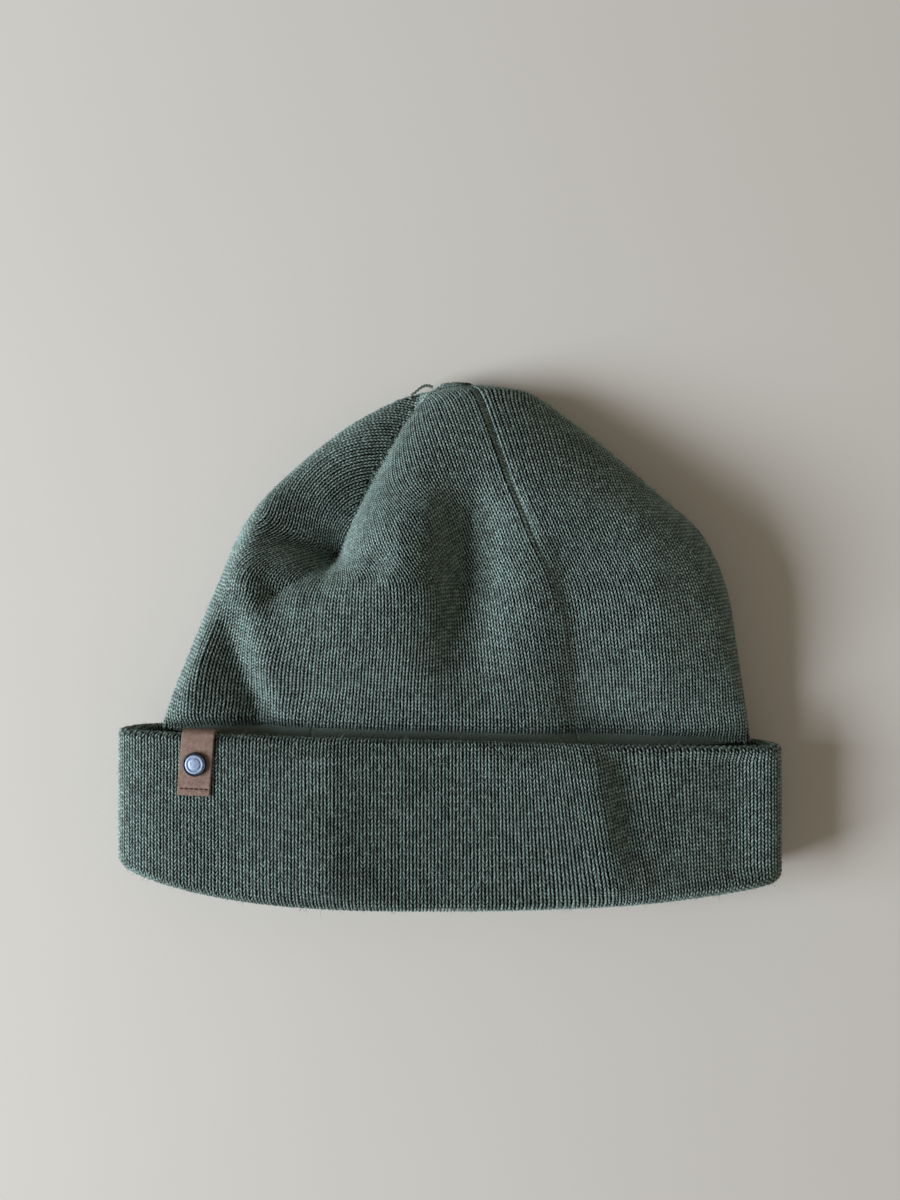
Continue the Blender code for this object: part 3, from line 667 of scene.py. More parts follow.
class FinishTree:
    """The nodes of one new material, whose patterns read places on the object."""

    def __init__(self, name: str) -> None:
        """Start the material."""
        self.made = bpy.data.materials.new(name)
        self.made.use_nodes = True
        self.tree = self.made.node_tree
        self.shader = self.tree.nodes["Principled BSDF"]
        self.place = self.node("ShaderNodeTexCoord").outputs["Object"]

    def node(self, kind: str, inputs: dict | None = None, **settings: object) -> bpy.types.Node:
        """Add a node with its inputs and settings."""
        return add_node(self.tree, kind, inputs, **settings)

    def sum(self, value: Socket, weight: float, more: Socket | float) -> Socket:
        """A weighted value plus another one."""
        inputs = {0: value, 1: weight, 2: more}
        return self.node("ShaderNodeMath", inputs, operation="MULTIPLY_ADD").outputs[0]

    def noise(self, size: float, detail: float, roughness: float = 0.5) -> Socket:
        """Noise with features of a size in millimetres."""
        inputs = {"Vector": self.place, "Scale": 1.0 / (size * MM), "Detail": detail, "Roughness": roughness}
        return self.node("ShaderNodeTexNoise", inputs).outputs["Fac"]

    def share(self, value: Socket, low: float, high: float) -> Socket:
        """How far a value has come from a low to a high one."""
        inputs = {"Value": value, "From Min": low, "From Max": high}
        return self.node("ShaderNodeMapRange", inputs).outputs[0]

    def colour(self, share: Socket, dark: str, light: str) -> None:
        """Colour the shader between two sRGB hex values."""
        inputs = {"Factor": share, "A": linear(dark), "B": linear(light)}
        mix = self.node("ShaderNodeMix", inputs, data_type="RGBA")
        self.tree.links.new(mix.outputs["Result"], self.shader.inputs["Base Color"])

    def bump(self, height: Socket, strength: float, distance: float, normal: Socket | None = None) -> None:
        """Roughen the shader's surface by a distance in millimetres."""
        inputs = {"Strength": strength, "Distance": distance * MM, "Height": height}
        if normal is not None:
            inputs["Normal"] = normal
        bump = self.node("ShaderNodeBump", inputs)
        self.tree.links.new(bump.outputs["Normal"], self.shader.inputs["Normal"])

    def done(self, values: dict[str, object]) -> Material:
        """Set the shader's plain values and hand over the material."""
        for name, value in values.items():
            self.shader.inputs[name].default_value = value
        return self.made


@dataclass(frozen=True)
class Wool:
    """Spun wool yarn: matt, slightly hairy, with loose fibres that lighten it at grazing angles."""

    name: str
    light: str
    dark: str
    sheen: float = 0.35
    fibre: float = 0.35
    cloud: float = 24.0
    fuzz: float = 1.6

    def make(self) -> Material:
        """Make the material: tone changes from stitch to stitch, painted light and shade along each leg, and
        fuzz softens each yarn's roundness.
        """
        finish = FinishTree(self.name)
        names = ("tone", "crest", "out")
        tone, crest, lie = (
            finish.node("ShaderNodeAttribute", attribute_name=name).outputs for name in names)
        fibres = finish.noise(self.fibre, 3.0, 0.6)
        clouds = finish.noise(self.cloud, 2.0)
        mixed: Socket | float = -0.5
        for value, weight in ((tone["Fac"], 0.4), (fibres, 1.6), (clouds, 0.3)):
            mixed = finish.sum(value, weight, mixed)
        # Painted shade: the crest light attribute darkens each leg towards its ends, where it dips under its
        # neighbours, and keeps its middle light
        share = finish.node(
            "ShaderNodeMath", {0: mixed, 1: crest["Fac"]}, operation="MULTIPLY", use_clamp=True)
        finish.colour(share.outputs[0], self.dark, self.light)
        own = finish.node("ShaderNodeNewGeometry").outputs["Normal"]
        facing = finish.node("ShaderNodeVectorMath", {
            0: lie["Vector"], 1: (self.fuzz, self.fuzz, self.fuzz), 2: own}, operation="MULTIPLY_ADD")
        facing = finish.node("ShaderNodeVectorMath", {0: facing.outputs["Vector"]}, operation="NORMALIZE")
        finish.bump(fibres, 0.5, 0.12, facing.outputs["Vector"])
        return finish.done({
            "Roughness": 0.92, "Specular IOR Level": 0.25, "Sheen Weight": self.sheen,
            "Sheen Roughness": 0.5, "Sheen Tint": linear(self.light)})


@dataclass(frozen=True)
class Suede:
    """Split leather with a brushed nap: dull, mottled where the nap lies two ways, with fine grain."""

    name: str
    light: str
    dark: str
    nap: float = 1.6
    grain: float = 0.28

    def make(self) -> Material:
        """Make the material: patches of nap over a fine grain."""
        finish = FinishTree(self.name)
        nap = finish.noise(self.nap, 4.0, 0.65)
        grain = finish.noise(self.grain, 2.0)
        finish.colour(finish.share(finish.sum(grain, 0.7, nap), 0.55, 1.15), self.dark, self.light)
        finish.bump(grain, 0.6, 0.15)
        return finish.done({
            "Roughness": 0.88, "Specular IOR Level": 0.25, "Sheen Weight": 0.25,
            "Sheen Tint": linear(self.light)})


@dataclass(frozen=True)
class CastMetal:
    """Small zinc casting with a thin coloured coat: satin, lighter where handling has worn it."""

    name: str
    light: str
    dark: str
    metallic: float
    roughness: float
    wear: float = 1.1

    def make(self) -> Material:
        """Make the material: a satin coat with soft patches of wear."""
        finish = FinishTree(self.name)
        wear = finish.noise(self.wear, 5.0, 0.7)
        finish.colour(finish.share(wear, 0.35, 0.7), self.dark, self.light)
        rough = finish.node("ShaderNodeMapRange", {
            "Value": wear, "To Min": self.roughness - 0.08, "To Max": self.roughness + 0.1})
        finish.tree.links.new(rough.outputs[0], finish.shader.inputs["Roughness"])
        return finish.done({"Metallic": self.metallic})


def link(name: str, data: bpy.types.ID) -> Piece:
    """Add an object to the scene."""
    piece = bpy.data.objects.new(name, data)
    bpy.context.scene.collection.objects.link(piece)
    return piece


def add_mesh(name: str, points: Array, faces: Faces, finish: Material) -> Piece:
    """Add a closed, smooth mesh object.

    Args:
        name: Name of the piece.
        points: Points in millimetres.
        faces: Corners of each face.
        finish: Its material.

    Returns:
        The new object, with its place in its mesh.
    """
    mesh = bpy.data.meshes.new(name)
    mesh.from_pydata((np.asarray(points, float) * MM).tolist(), [], faces)
    shape = bmesh.new()
    shape.from_mesh(mesh)
    bmesh.ops.recalc_face_normals(shape, faces=shape.faces)
    shape.to_mesh(mesh)
    shape.free()
    mesh.shade_smooth()
    # Plain meshes get a middle tone and full painted crest light, so no painted shade
    for key, value in (("tone", 0.5), ("crest", 1.0)):
        mesh.attributes.new(key, "FLOAT", "POINT").data.foreach_set("value", np.full(len(points), value))
    mesh.materials.append(finish)
    return link(name, mesh)


def settle(piece: Piece, nodes: tuple[str, ...] = ()) -> None:
    """Fix a finished piece to the hat and let it stand for solids.

    Args:
        piece: The finished piece.
        nodes: Solids that it stands for.
    """
    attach(piece, BODY)
    if nodes:
        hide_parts(*nodes)
    count = sum(len(face.vertices) - 2 for face in piece.data.polygons)
    LOG.info("%s: %d triangles", piece.name, count)


def sheet_faces(rows: int, columns: int) -> Faces:
    """Faces of a closed sheet: an outer grid, an inner grid after it, and the rim between them."""
    inner = rows * columns
    faces: Faces = []
    for row in range(rows - 1):
        for column in range(columns - 1):
            a = row * columns + column
            quad = (a, a + 1, a + columns + 1, a + columns)
            faces.append(quad)
            faces.append(tuple(corner + inner for corner in reversed(quad)))
    around = list(range(columns))
    around += [row * columns + columns - 1 for row in range(1, rows)]
    around += [(rows - 1) * columns + column for column in range(columns - 2, -1, -1)]
    around += [row * columns for row in range(rows - 2, 0, -1)]
    faces += [(b, a, a + inner, b + inner) for a, b in zip(around, around[1:] + around[:1])]
    return faces


def add_sheet(name: str, outer: Array, inner: Array, finish: Material) -> Piece:
    """Add a closed sheet between two grids of points."""
    points = np.concatenate([outer.reshape(-1, 3), inner.reshape(-1, 3)])
    return add_mesh(name, points, sheet_faces(*outer.shape[:2]), finish)


def ring_faces(rings: int, size: int, closed: bool) -> Faces:
    """Faces of a tube of rings, closed on itself or with a cap at each end."""
    faces: Faces = []
    for ring in range(rings if closed else rings - 1):
        after = (ring + 1) % rings
        for corner in range(size):
            following = (corner + 1) % size
            faces.append((ring * size + corner, ring * size + following,
                          after * size + following, after * size + corner))
    if not closed:
        faces.append(tuple(reversed(range(size))))
        faces.append(tuple((rings - 1) * size + corner for corner in range(size)))
    return faces


def once_round(count: int) -> tuple[Array, Array, Array]:
    """Shares of one way round the flattened hat, with their places across and their faces."""
    u = np.linspace(0.0, 1.0, count, endpoint=False)
    return u, np.where(u < 0.5, u * 2, 2 - u * 2), np.where(u < 0.5, 1.0, -1.0)


@dataclass
class Scatter:
    """Places where one small shape repeats, with its directions and stretch."""

    points: Array
    along: Array
    out: Array
    stretch: Array

    @staticmethod
    def join(parts: list["Scatter"]) -> "Scatter":
        """One scatter from several."""
        names = ("points", "along", "out", "stretch")
        return Scatter(*(np.concatenate([getattr(part, name) for part in parts]) for name in names))

    def lift_clear(self) -> None:
        """Raise the stitches that would reach through the floor."""
        far, off, wide = STITCH_REACH
        reach = far * np.abs(self.along[:, 2]) + off * np.abs(self.out[:, 2])
        reach += wide * np.abs(np.cross(self.along, self.out)[:, 2])
        self.points[:, 2] = np.maximum(self.points[:, 2], reach + FLOOR_ROOM)

    def pick(self, chosen: Array) -> "Scatter":
        """The places chosen by a mask or by indices."""
        return Scatter(self.points[chosen], self.along[chosen], self.out[chosen], self.stretch[chosen])


@dataclass(frozen=True)
class SmallShape:
    """A small closed shape that is repeated: points in millimetres, faces and a flat map of them."""

    points: Array
    faces: Faces
    flat: Array
    # Painted light at each point, for stitches: lower values paint shade
    crest: Array | None = None

    @staticmethod
    def strand(path: list[tuple[float, float, float]], sizes: list[float], sides: int) -> "SmallShape":
        """A strand of rings along a path.

        Args:
            path: Middle of each ring.
            sizes: Radius of each ring.
            sides: Corners of each ring.

        Returns:
            The strand with a cap at each end.
        """
        points = []
        for (x, y, z), size in zip(path, sizes):
            for side in range(sides):
                angle = math.tau * side / sides
                points.append((x + size * math.cos(angle), y, z + size * math.sin(angle)))
        faces = ring_faces(len(path), sides, False)
        last = len(path) - 1
        flat = [(corner % sides / sides, corner // sides / last) for face in faces for corner in face]
        return SmallShape(np.array(points), faces, np.array(flat))


@dataclass(frozen=True)
class Stitch:
    """One V of plain knit: two tapered legs of yarn that spread towards the next row."""

    pitch: float = 2.3
    course: float = 1.4
    thick: float = 0.54
    wide: float = 0.31

    def shape(self) -> SmallShape:
        """Build both legs, each of three rings and two points."""
        middle = np.array([
            (0.09, -0.90, -0.8), (0.13, -0.52, -0.14), (0.25, 0.10, 0.24), (0.36, 0.72, -0.12),
            (0.40, 1.10, -0.8)])
        middle *= (self.pitch, self.course, 1.0)
        swell = (0.0, 0.86, 1.0, 0.84, 0.0)
        points: list[Array] = []
        faces: Faces = []
        flat: list[tuple[float, float]] = []
        for leg, sign in enumerate((-1, 1)):
            first = len(points)
            for centre, size in zip(middle, swell):
                for side in range(4 if size else 1):
                    angle = math.tau * (side + 0.5) / 4
                    aside = size * self.wide * math.cos(angle)
                    up = size * self.thick * math.sin(angle)
                    points.append(np.array([sign * (centre[0] + aside), centre[1], centre[2] + up]))
            last = first + 13
            for side in range(4):
                after = (side + 1) % 4
                low, high = (leg + side / 4) / 2, (leg + (side + 1) / 4) / 2
                half = (low + high) / 2
                panels = [
                    ((first, first + 1 + after, first + 1 + side), [(half, 0.0), (high, 0.2), (low, 0.2)]),
                    ((last, last - 4 + side, last - 4 + after), [(half, 1.0), (low, 0.8), (high, 0.8)])]
                for ring in range(2):
                    a = first + 1 + ring * 4
                    base, top = 0.2 + 0.3 * ring, 0.5 + 0.3 * ring
                    panels.append((
                        (a + side, a + after, a + 4 + after, a + 4 + side),
                        [(low, base), (high, base), (high, top), (low, top)]))
                for face, places in panels:
                    faces.append(face[::sign])
                    flat += places[::sign]
        # Painted light and shade along each leg: full on its middle ring, 0.2 on its end rings and none at
        # its points, so the ends are painted dark
        crest = np.tile([0.0, *[0.2] * 4, *[1.0] * 4, *[0.2] * 4, 0.0], 2)
        return SmallShape(np.array(points), faces, np.array(flat), crest)


@dataclass(frozen=True)
class Hair:
    """One loose fibre: a fine bent three-sided strand that stands off the yarn."""

    length: float = 2.4
    thick: float = 0.05

    def shape(self) -> SmallShape:
        """Build the strand from three tapering rings."""
        path = [(0.0, 0.0, -0.2), (0.0, 0.45 * self.length, 0.38), (0.05 * self.length, self.length, 0.52)]
        return SmallShape.strand(path, [self.thick * size for size in (1.0, 0.8, 0.35)], 3)


@dataclass(frozen=True)
class Dash:
    """One sewn stitch of thread: a short rounded strand whose ends dip into the material."""

    length: float = 1.7
    thick: float = 0.26

    def shape(self) -> SmallShape:
        """Build the strand from seven rings of eight sides."""
        shares = [step / 6 * 2 - 1 for step in range(7)]
        path = [(0.0, share * self.length / 2, -0.42 * share ** 4) for share in shares]
        sizes = [self.thick * max(0.35, 1.0 - 0.55 * share ** 4) for share in shares]
        return SmallShape.strand(path, sizes, 8)


class RepeatTree:
    """Geometry Nodes tree that sets one small shape on every point of a scatter."""

    def __init__(self) -> None:
        """Build the tree with its named inputs."""
        tree = bpy.data.node_groups.new("repeat along rows", "GeometryNodeTree")
        sockets = (
            ("Places", "Geometry"), ("Shape", "Object"), ("Finish", "Material"), ("Turn", "Float"),
            ("Vary", "Float"), ("Seed", "Int"))
        for name, kind in sockets:
            tree.interface.new_socket(name, in_out="INPUT", socket_type=f"NodeSocket{kind}")
        tree.interface.new_socket("Knit", in_out="OUTPUT", socket_type="NodeSocketGeometry")
        self.tree = tree
        given = add_node(tree, "NodeGroupInput").outputs
        out, along, stretch = (
            add_node(tree, "GeometryNodeInputNamedAttribute", {"Name": name},
                     data_type="FLOAT_VECTOR").outputs["Attribute"] for name in ("out", "along", "stretch"))
        facing = add_node(
            tree, "FunctionNodeAxesToRotation", {"Primary Axis": out, "Secondary Axis": along},
            primary_axis="Z", secondary_axis="Y")
        spin = self.chance(given["Seed"], given["Turn"])
        spin = add_node(tree, "FunctionNodeEulerToRotation", {"Euler": spin})
        turned = add_node(tree, "FunctionNodeRotateRotation", {
            "Rotation": facing.outputs["Rotation"], "Rotate By": spin.outputs["Rotation"]},
            rotation_space="LOCAL")
        vary = self.chance(self.other_seed(given["Seed"], 17.0), given["Vary"])
        inputs = {0: vary, 1: stretch, 2: stretch}
        vary = add_node(tree, "ShaderNodeVectorMath", inputs, operation="MULTIPLY_ADD")
        shape = add_node(tree, "GeometryNodeObjectInfo", {"Object": given["Shape"]})
        placed = add_node(tree, "GeometryNodeInstanceOnPoints", {
            "Points": given["Places"], "Instance": shape.outputs["Geometry"],
            "Rotation": turned.outputs["Rotation"], "Scale": vary.outputs["Vector"]})
        tone_seed = self.other_seed(given["Seed"], 41.0)
        tone = add_node(tree, "FunctionNodeRandomValue", {"Seed": tone_seed}, data_type="FLOAT")
        toned = add_node(tree, "GeometryNodeStoreNamedAttribute", {
            "Geometry": placed.outputs["Instances"], "Name": "tone",
            "Value": next(s for s in tone.outputs if s.enabled)}, data_type="FLOAT", domain="INSTANCE")
        real = add_node(tree, "GeometryNodeRealizeInstances", {"Geometry": toned.outputs["Geometry"]})
        dressed = add_node(tree, "GeometryNodeSetMaterial", {
            "Geometry": real.outputs["Geometry"], "Material": given["Finish"]})
        add_node(tree, "NodeGroupOutput", {"Knit": dressed.outputs["Geometry"]})

    def chance(self, seed: Socket, scale: Socket) -> Socket:
        """A random vector whose parts lie between minus and plus a scale."""
        value = add_node(self.tree, "FunctionNodeRandomValue", {
            "Min": (-1.0, -1.0, -1.0), "Max": (1.0, 1.0, 1.0), "Seed": seed}, data_type="FLOAT_VECTOR")
        inputs = {0: value.outputs["Value"], "Scale": scale}
        return add_node(self.tree, "ShaderNodeVectorMath", inputs, operation="SCALE").outputs["Vector"]

    def other_seed(self, seed: Socket, more: float) -> Socket:
        """A seed of its own for another random value."""
        return add_node(self.tree, "ShaderNodeMath", {0: seed, 1: more}, operation="ADD").outputs[0]

    def grow(self, name: str, places: Scatter, shape: SmallShape, finish: Material,
             seed: int, turn: float = 0.1, vary: float = 0.09) -> Piece:
        """Set a shape on every place and turn the result into a plain mesh.

        Args:
            name: Name of the piece.
            places: Where the shape repeats.
            shape: What repeats.
            finish: Its material.
            seed: Fixed seed of its small differences.
            turn: Largest turn of a copy, in radians.
            vary: Largest change of a copy's size, as a share.

        Returns:
            The new piece.
        """
        pattern_mesh = bpy.data.meshes.new("pattern")
        pattern_mesh.from_pydata((shape.points * MM).tolist(), [], shape.faces)
        pattern_mesh.shade_smooth()
        # Shapes without their own values get full painted crest light, so no painted shade
        crest = np.ones(len(shape.points)) if shape.crest is None else shape.crest
        pattern_mesh.attributes.new("crest", "FLOAT", "POINT").data.foreach_set("value", crest)
        pattern = link("pattern", pattern_mesh)
        mesh = bpy.data.meshes.new("places")
        mesh.from_pydata((places.points * MM).tolist(), [], [])
        for key, values in (("out", places.out), ("along", places.along), ("stretch", places.stretch)):
            mesh.attributes.new(key, "FLOAT_VECTOR", "POINT").data.foreach_set("vector", values.ravel())
        holder = link("places", mesh)
        modifier = holder.modifiers.new("repeat", "NODES")
        modifier.node_group = self.tree
        given = {"Shape": pattern, "Finish": finish, "Turn": turn, "Vary": vary, "Seed": seed}
        for item in self.tree.interface.items_tree:
            if item.in_out == "INPUT" and item.name in given:
                modifier[item.identifier] = given[item.name]
        bpy.context.view_layer.update()
        depsgraph = bpy.context.evaluated_depsgraph_get()
        grown = bpy.data.meshes.new_from_object(
            holder.evaluated_get(depsgraph), preserve_all_data_layers=True, depsgraph=depsgraph)
        holder.modifiers.remove(modifier)
        for used in (holder, pattern):
            bpy.data.objects.remove(used, do_unlink=True)
        for key in ("along", "stretch"):
            if key in grown.attributes:
                grown.attributes.remove(grown.attributes[key])
        grown.name = name
        grown.shade_smooth()
        self.lay_flat(grown, len(places.points), shape.flat)
        return link(name, grown)

    def knit(self, name: str, places: Scatter, stitch: Stitch, finish: Material, seed: int) -> None:
        """Set stitches on many places, in as many pieces as they need.

        Args:
            name: Name of the pieces, numbered where there are several.
            places: Where the stitches lie.
            stitch: The stitch.
            finish: Its material.
            seed: Fixed seed of the first piece.
        """
        parts = math.ceil(len(places.points) / STITCHES_A_PIECE)
        for part, chosen in enumerate(np.array_split(np.arange(len(places.points)), parts)):
            label = name if parts == 1 else f"{name}_{part + 1}"
            piece = self.grow(label, places.pick(chosen), stitch.shape(), finish, seed + part)
            settle(piece)

    def link_seam(self, name: str, node: str, wales: Wales, chain: Stitch, finish: Material, seed: int,
                  turn: float = 0.1, vary: float = 0.09) -> None:
        """Set a chain of loops along a seam.

        Args:
            name: Name of the piece.
            node: Solid that it stands for.
            wales: The seam's line.
            chain: One loop.
            finish: Its material.
            seed: Fixed seed of its small differences.
            turn: Largest turn of a loop, in radians.
            vary: Largest change of a loop's size, as a share.
        """
        places = wales.stitches(chain, True, 1.0, 1.0)
        piece = self.grow(name, places, chain.shape(), finish, seed, turn, vary)
        settle(piece, (node,))

    @staticmethod
    def lay_flat(mesh: bpy.types.Mesh, count: int, flat: Array) -> None:
        """Give every copy a cell of its own on the mesh's flat map."""
        cells = math.ceil(math.sqrt(count))
        index = np.arange(count)
        corner = np.stack([index % cells, index // cells], axis=-1)
        inside = 0.08 + 0.84 * flat
        places = (corner[:, None, :] + inside[None, :, :]) / cells
        layer = mesh.uv_layers.new(name="OFBake")
        layer.data.foreach_set("uv", places.astype(np.float32).ravel())


@dataclass
class Wales:
    """Columns of stitches on a surface: points, outward vectors and which parts are kept."""

    points: Array
    out: Array
    kept: Array

    @staticmethod
    def lay(points: Array, out: Array, places: Array, keep: Array) -> "Wales":
        """Columns of stitches at given distances along each row of a grid.

        Args:
            points: Rows of points.
            out: Outward vectors of those points.
            places: Distance of each column along each row.
            keep: Which of them are kept.

        Returns:
            The columns.
        """
        run = arc_lengths(points)
        laid = np.stack([interpolate(*row) for row in zip(places, run, points)])
        facing = np.stack([interpolate(*row) for row in zip(places, run, out)])
        return Wales(laid, unit(facing), keep)

    @staticmethod
    def line(points: Array, out: Array) -> "Wales":
        """The middle one of three columns of points."""
        return Wales(points, out, np.broadcast_to([False, True, False], points.shape[:2]))

    def spacing(self) -> Array:
        """Distance from each column to its neighbours, square to the column."""
        along = unit(np.gradient(self.points, axis=0))
        gap = np.gradient(self.points, axis=1)
        gap = gap - np.sum(gap * along, axis=-1, keepdims=True) * along
        return np.linalg.norm(gap, axis=-1)

    def stitches(self, stitch: Stitch, upright: bool, least: float = 0.7, most: float = 1.35) -> Scatter:
        """Stitches along every column, one course apart.

        Args:
            stitch: The stitch and its usual sizes.
            upright: True where the V opens towards the end of the column.
            least: Narrowest stretch of a stitch.
            most: Widest stretch of a stitch.

        Returns:
            Where the stitches lie.
        """
        widths = np.clip(self.spacing() / stitch.pitch, least, most)
        found: list[Scatter] = []
        for column in range(self.points.shape[1]):
            edges = np.diff(np.concatenate([[0], self.kept[:, column].astype(int), [0]]))
            for begin, end in zip(np.where(edges == 1)[0], np.where(edges == -1)[0]):
                if end - begin < 3:
                    continue
                path = self.points[begin:end, column]
                run = arc_lengths(path)
                count = int(run[-1] / stitch.course)
                if count < 1:
                    continue
                at = (np.arange(count) + 0.5) * stitch.course
                ahead, behind = (interpolate(at + step, run, path) for step in (AIM_STEP, -AIM_STEP))
                along = unit(ahead - behind)
                out = unit(interpolate(at, run, self.out[begin:end, column]))
                width = np.interp(at, run, widths[begin:end, column])
                stretch = np.stack([width, np.ones(count), np.ones(count)], axis=-1)
                along = along if upright else -along
                found.append(Scatter(interpolate(at, run, path), along, out, stretch))
        return Scatter.join(found)


@dataclass
class Crown:
    """The crown: four gores of stitches over a near-black sheet of painted shade, linked seams and a
    gathered tip.
    """

    shape: HatShape
    tree: RepeatTree
    stitch: Stitch = field(default_factory=Stitch)
    first_t: float = 1.0
    last_t: float = 7.96
    dart_t: float = 3.05
    rows: int = 420
    columns: int = 140
    bed: float = 0.45
    ground: float = 1.0
    turn_x: float = -26.0
    turn_end: float = 52.0
    ray_reach: float = 130.0
    ray_points: int = 420
    extra_wales: int = 40
    seam_room: float = -0.12
    placed: list[Scatter] = field(default_factory=list)

    def grid(self, gore: Gore, t: Array, depth: float, inset: float, columns: int) -> Array:
        """Grid of points over a gore.

        Args:
            gore: Which gore.
            t: Place of each row along the crown.
            depth: Depth below the crown's face.
            inset: Room left at each seam.
            columns: Points in each row.

        Returns:
            Rows of points.
        """
        across, face = self.shape.places(gore, t, columns, inset)
        return self.shape.crown(across, face, t[:, None], depth)

    def straight_wales(self, gore: Gore, anchor: float) -> Wales:
        """Columns that keep their distance from a line up the gore, and end at its darts.

        Args:
            gore: Which gore.
            anchor: Where the line runs, as a share of each row.

        Returns:
            The columns.
        """
        t = np.linspace(self.first_t, self.last_t, self.rows)
        points = self.grid(gore, t, self.bed, 0.0, self.columns)
        width = arc_lengths(points)[:, -1]
        at_dart = np.interp(self.dart_t, t, width)
        count = max(4, round(at_dart / self.stitch.pitch))
        pitch = at_dart / count
        below_darts = 1.0 - smooth_step(t, self.dart_t - 0.9, self.dart_t + 0.7)
        spread = np.cumsum(np.gradient(width / at_dart) * below_darts)
        spread = spread - spread[0] + width[0] / at_dart
        line = np.array([self.at_share(row, anchor) for row in points])
        lean = self.lean(points, line, t)
        spread = spread * np.where(t < self.dart_t, 1.0, np.clip(lean, 1.0, 1.5))
        first = round(anchor * count)
        index = np.arange(count) - first + 0.5
        places = (anchor * width)[:, None] + index * pitch * spread[:, None]
        edge = self.seam_room * pitch
        keep = (places > edge) & (places < width[:, None] - edge)
        return Wales.lay(points, self.shape.outward(points, t), places, keep)

    @staticmethod
    def at_share(row: Array, share: float) -> Array:
        """Point at a share of a row's length."""
        run = arc_lengths(row)
        return interpolate(share * run[-1], run, row)

    def lean(self, points: Array, line: Array, t: Array) -> Array:
        """How much wider columns stand along a row because they cross it at a slant.

        Args:
            points: Rows of points.
            line: The line that the columns follow, one point a row.
            t: Place of each row.

        Returns:
            Factor for each row, 1 at the start of the darts.
        """
        along = unit(np.gradient(line, axis=0))
        middle = points.shape[1] // 2
        row = unit(points[:, middle + 4] - points[:, middle - 4])
        slant = np.sqrt(np.maximum(0.08, 1.0 - np.sum(along * row, axis=-1) ** 2))
        slant = np.convolve(np.pad(slant, 20, mode="edge"), np.ones(41) / 41, mode="valid")
        return np.interp(self.dart_t, t, slant) / slant

    def across_and_t(self, x: Array, y: Array) -> tuple[Array, Array]:
        """Places on the crown above points in plan.

        Args:
            x: Points across.
            y: Points towards the tip.

        Returns:
            Places from the left fold to the right fold, and places along the crown.
        """
        low = np.full_like(x, 1.0)
        high = np.full_like(x, float(self.shape.tip_t))
        for _ in range(34):
            middle = (low + high) / 2
            left, right = self.shape.sides(middle, self.bed)
            run = right - left
            below = run[..., 0] * (y - left[..., 1]) - run[..., 1] * (x - left[..., 0]) > 0
            low = np.where(below, middle, low)
            high = np.where(below, high, middle)
        left, right = self.shape.sides(low, self.bed)
        run = right - left
        inside = (x - left[..., 0]) * run[..., 0] + (y - left[..., 1]) * run[..., 1]
        return inside / np.sum(run * run, axis=-1), low

    def turning_wales(self) -> Wales:
        """Columns of the left gore's front: up the body, then round to meet the left dart."""
        shape = self.shape
        t = np.linspace(self.first_t, self.dart_t, 130)
        across, face = shape.places(Gore.LEFT, t, self.columns + 1, 0.0)
        half = self.columns // 2 + 1
        body = shape.crown(across, face, t[:, None], self.bed)[:, :half]
        width = arc_lengths(body)[:, -1]
        count = round(width[-1] / self.stitch.pitch)
        pitch = width[-1] / count
        index = np.arange(count + self.extra_wales) + 0.5
        places = index * pitch * (width / width[-1])[:, None]
        keep = np.broadcast_to(index < count, places.shape)
        lower = Wales.lay(body, shape.outward(body, t), places, keep)

        seam = shape.station(np.array([self.dart_t]))[0]
        row_left, row_right = shape.sides(np.array([self.dart_t]), self.bed)
        heading = (row_left - row_right)[0]
        start = math.atan2(heading[1], heading[0]) % math.tau
        centre = row_left[0] + (row_right - row_left)[0] * np.clip(
            (self.turn_x - row_left[0, 0]) / (row_right - row_left)[0, 0], 0.0, 1.0)
        angles = np.linspace(start, math.radians(self.turn_end), 200)
        turned = np.stack([np.cos(angles), np.sin(angles)])
        near, far = np.zeros_like(angles), np.full_like(angles, self.ray_reach)
        for _ in range(30):
            halfway = (near + far) / 2
            inside = self.across_and_t(*(centre[:, None] + turned * halfway))[0] > 0
            near, far = np.where(inside, halfway, near), np.where(inside, far, halfway)
        reach = near[:, None] * (1.0 - np.linspace(1.0, 0.0, self.ray_points) ** 2)
        across, t_there = self.across_and_t(*(centre[:, None, None] + turned[:, :, None] * reach))
        rays = shape.crown(np.clip(across, 0.0, 1.0), np.ones_like(across), t_there, self.bed)
        to_seam = np.interp(seam[Column.FRONT_LEFT_SEAM.value], across[0, ::-1], arc_lengths(rays)[0, ::-1])
        distance = np.broadcast_to(to_seam + index * pitch, (len(angles), len(index)))
        normals = unit(np.cross(np.gradient(rays, axis=1), np.gradient(rays, axis=0)))
        normals[normals[..., 2] < 0] *= -1
        upper = Wales.lay(rays, normals, distance, np.ones_like(distance, bool))
        run = arc_lengths(rays)
        for row in range(len(angles)):
            place = np.interp(distance[row], run[row], across[row])
            there = np.interp(distance[row], run[row], t_there[row])
            section = shape.station(there)
            gap = self.seam_room * pitch / np.maximum(section[:, 2] - section[:, 0], 1.0)
            upper.kept[row] = (place > 1e-5) & (place < section[:, Column.FRONT_LEFT_SEAM.value] - gap)
            upper.kept[row] &= (there < self.last_t) & (distance[row] < run[row, -1])
        return Wales(
            np.concatenate([lower.points, upper.points[1:]]), np.concatenate([lower.out, upper.out[1:]]),
            np.concatenate([lower.kept, upper.kept[1:]]))

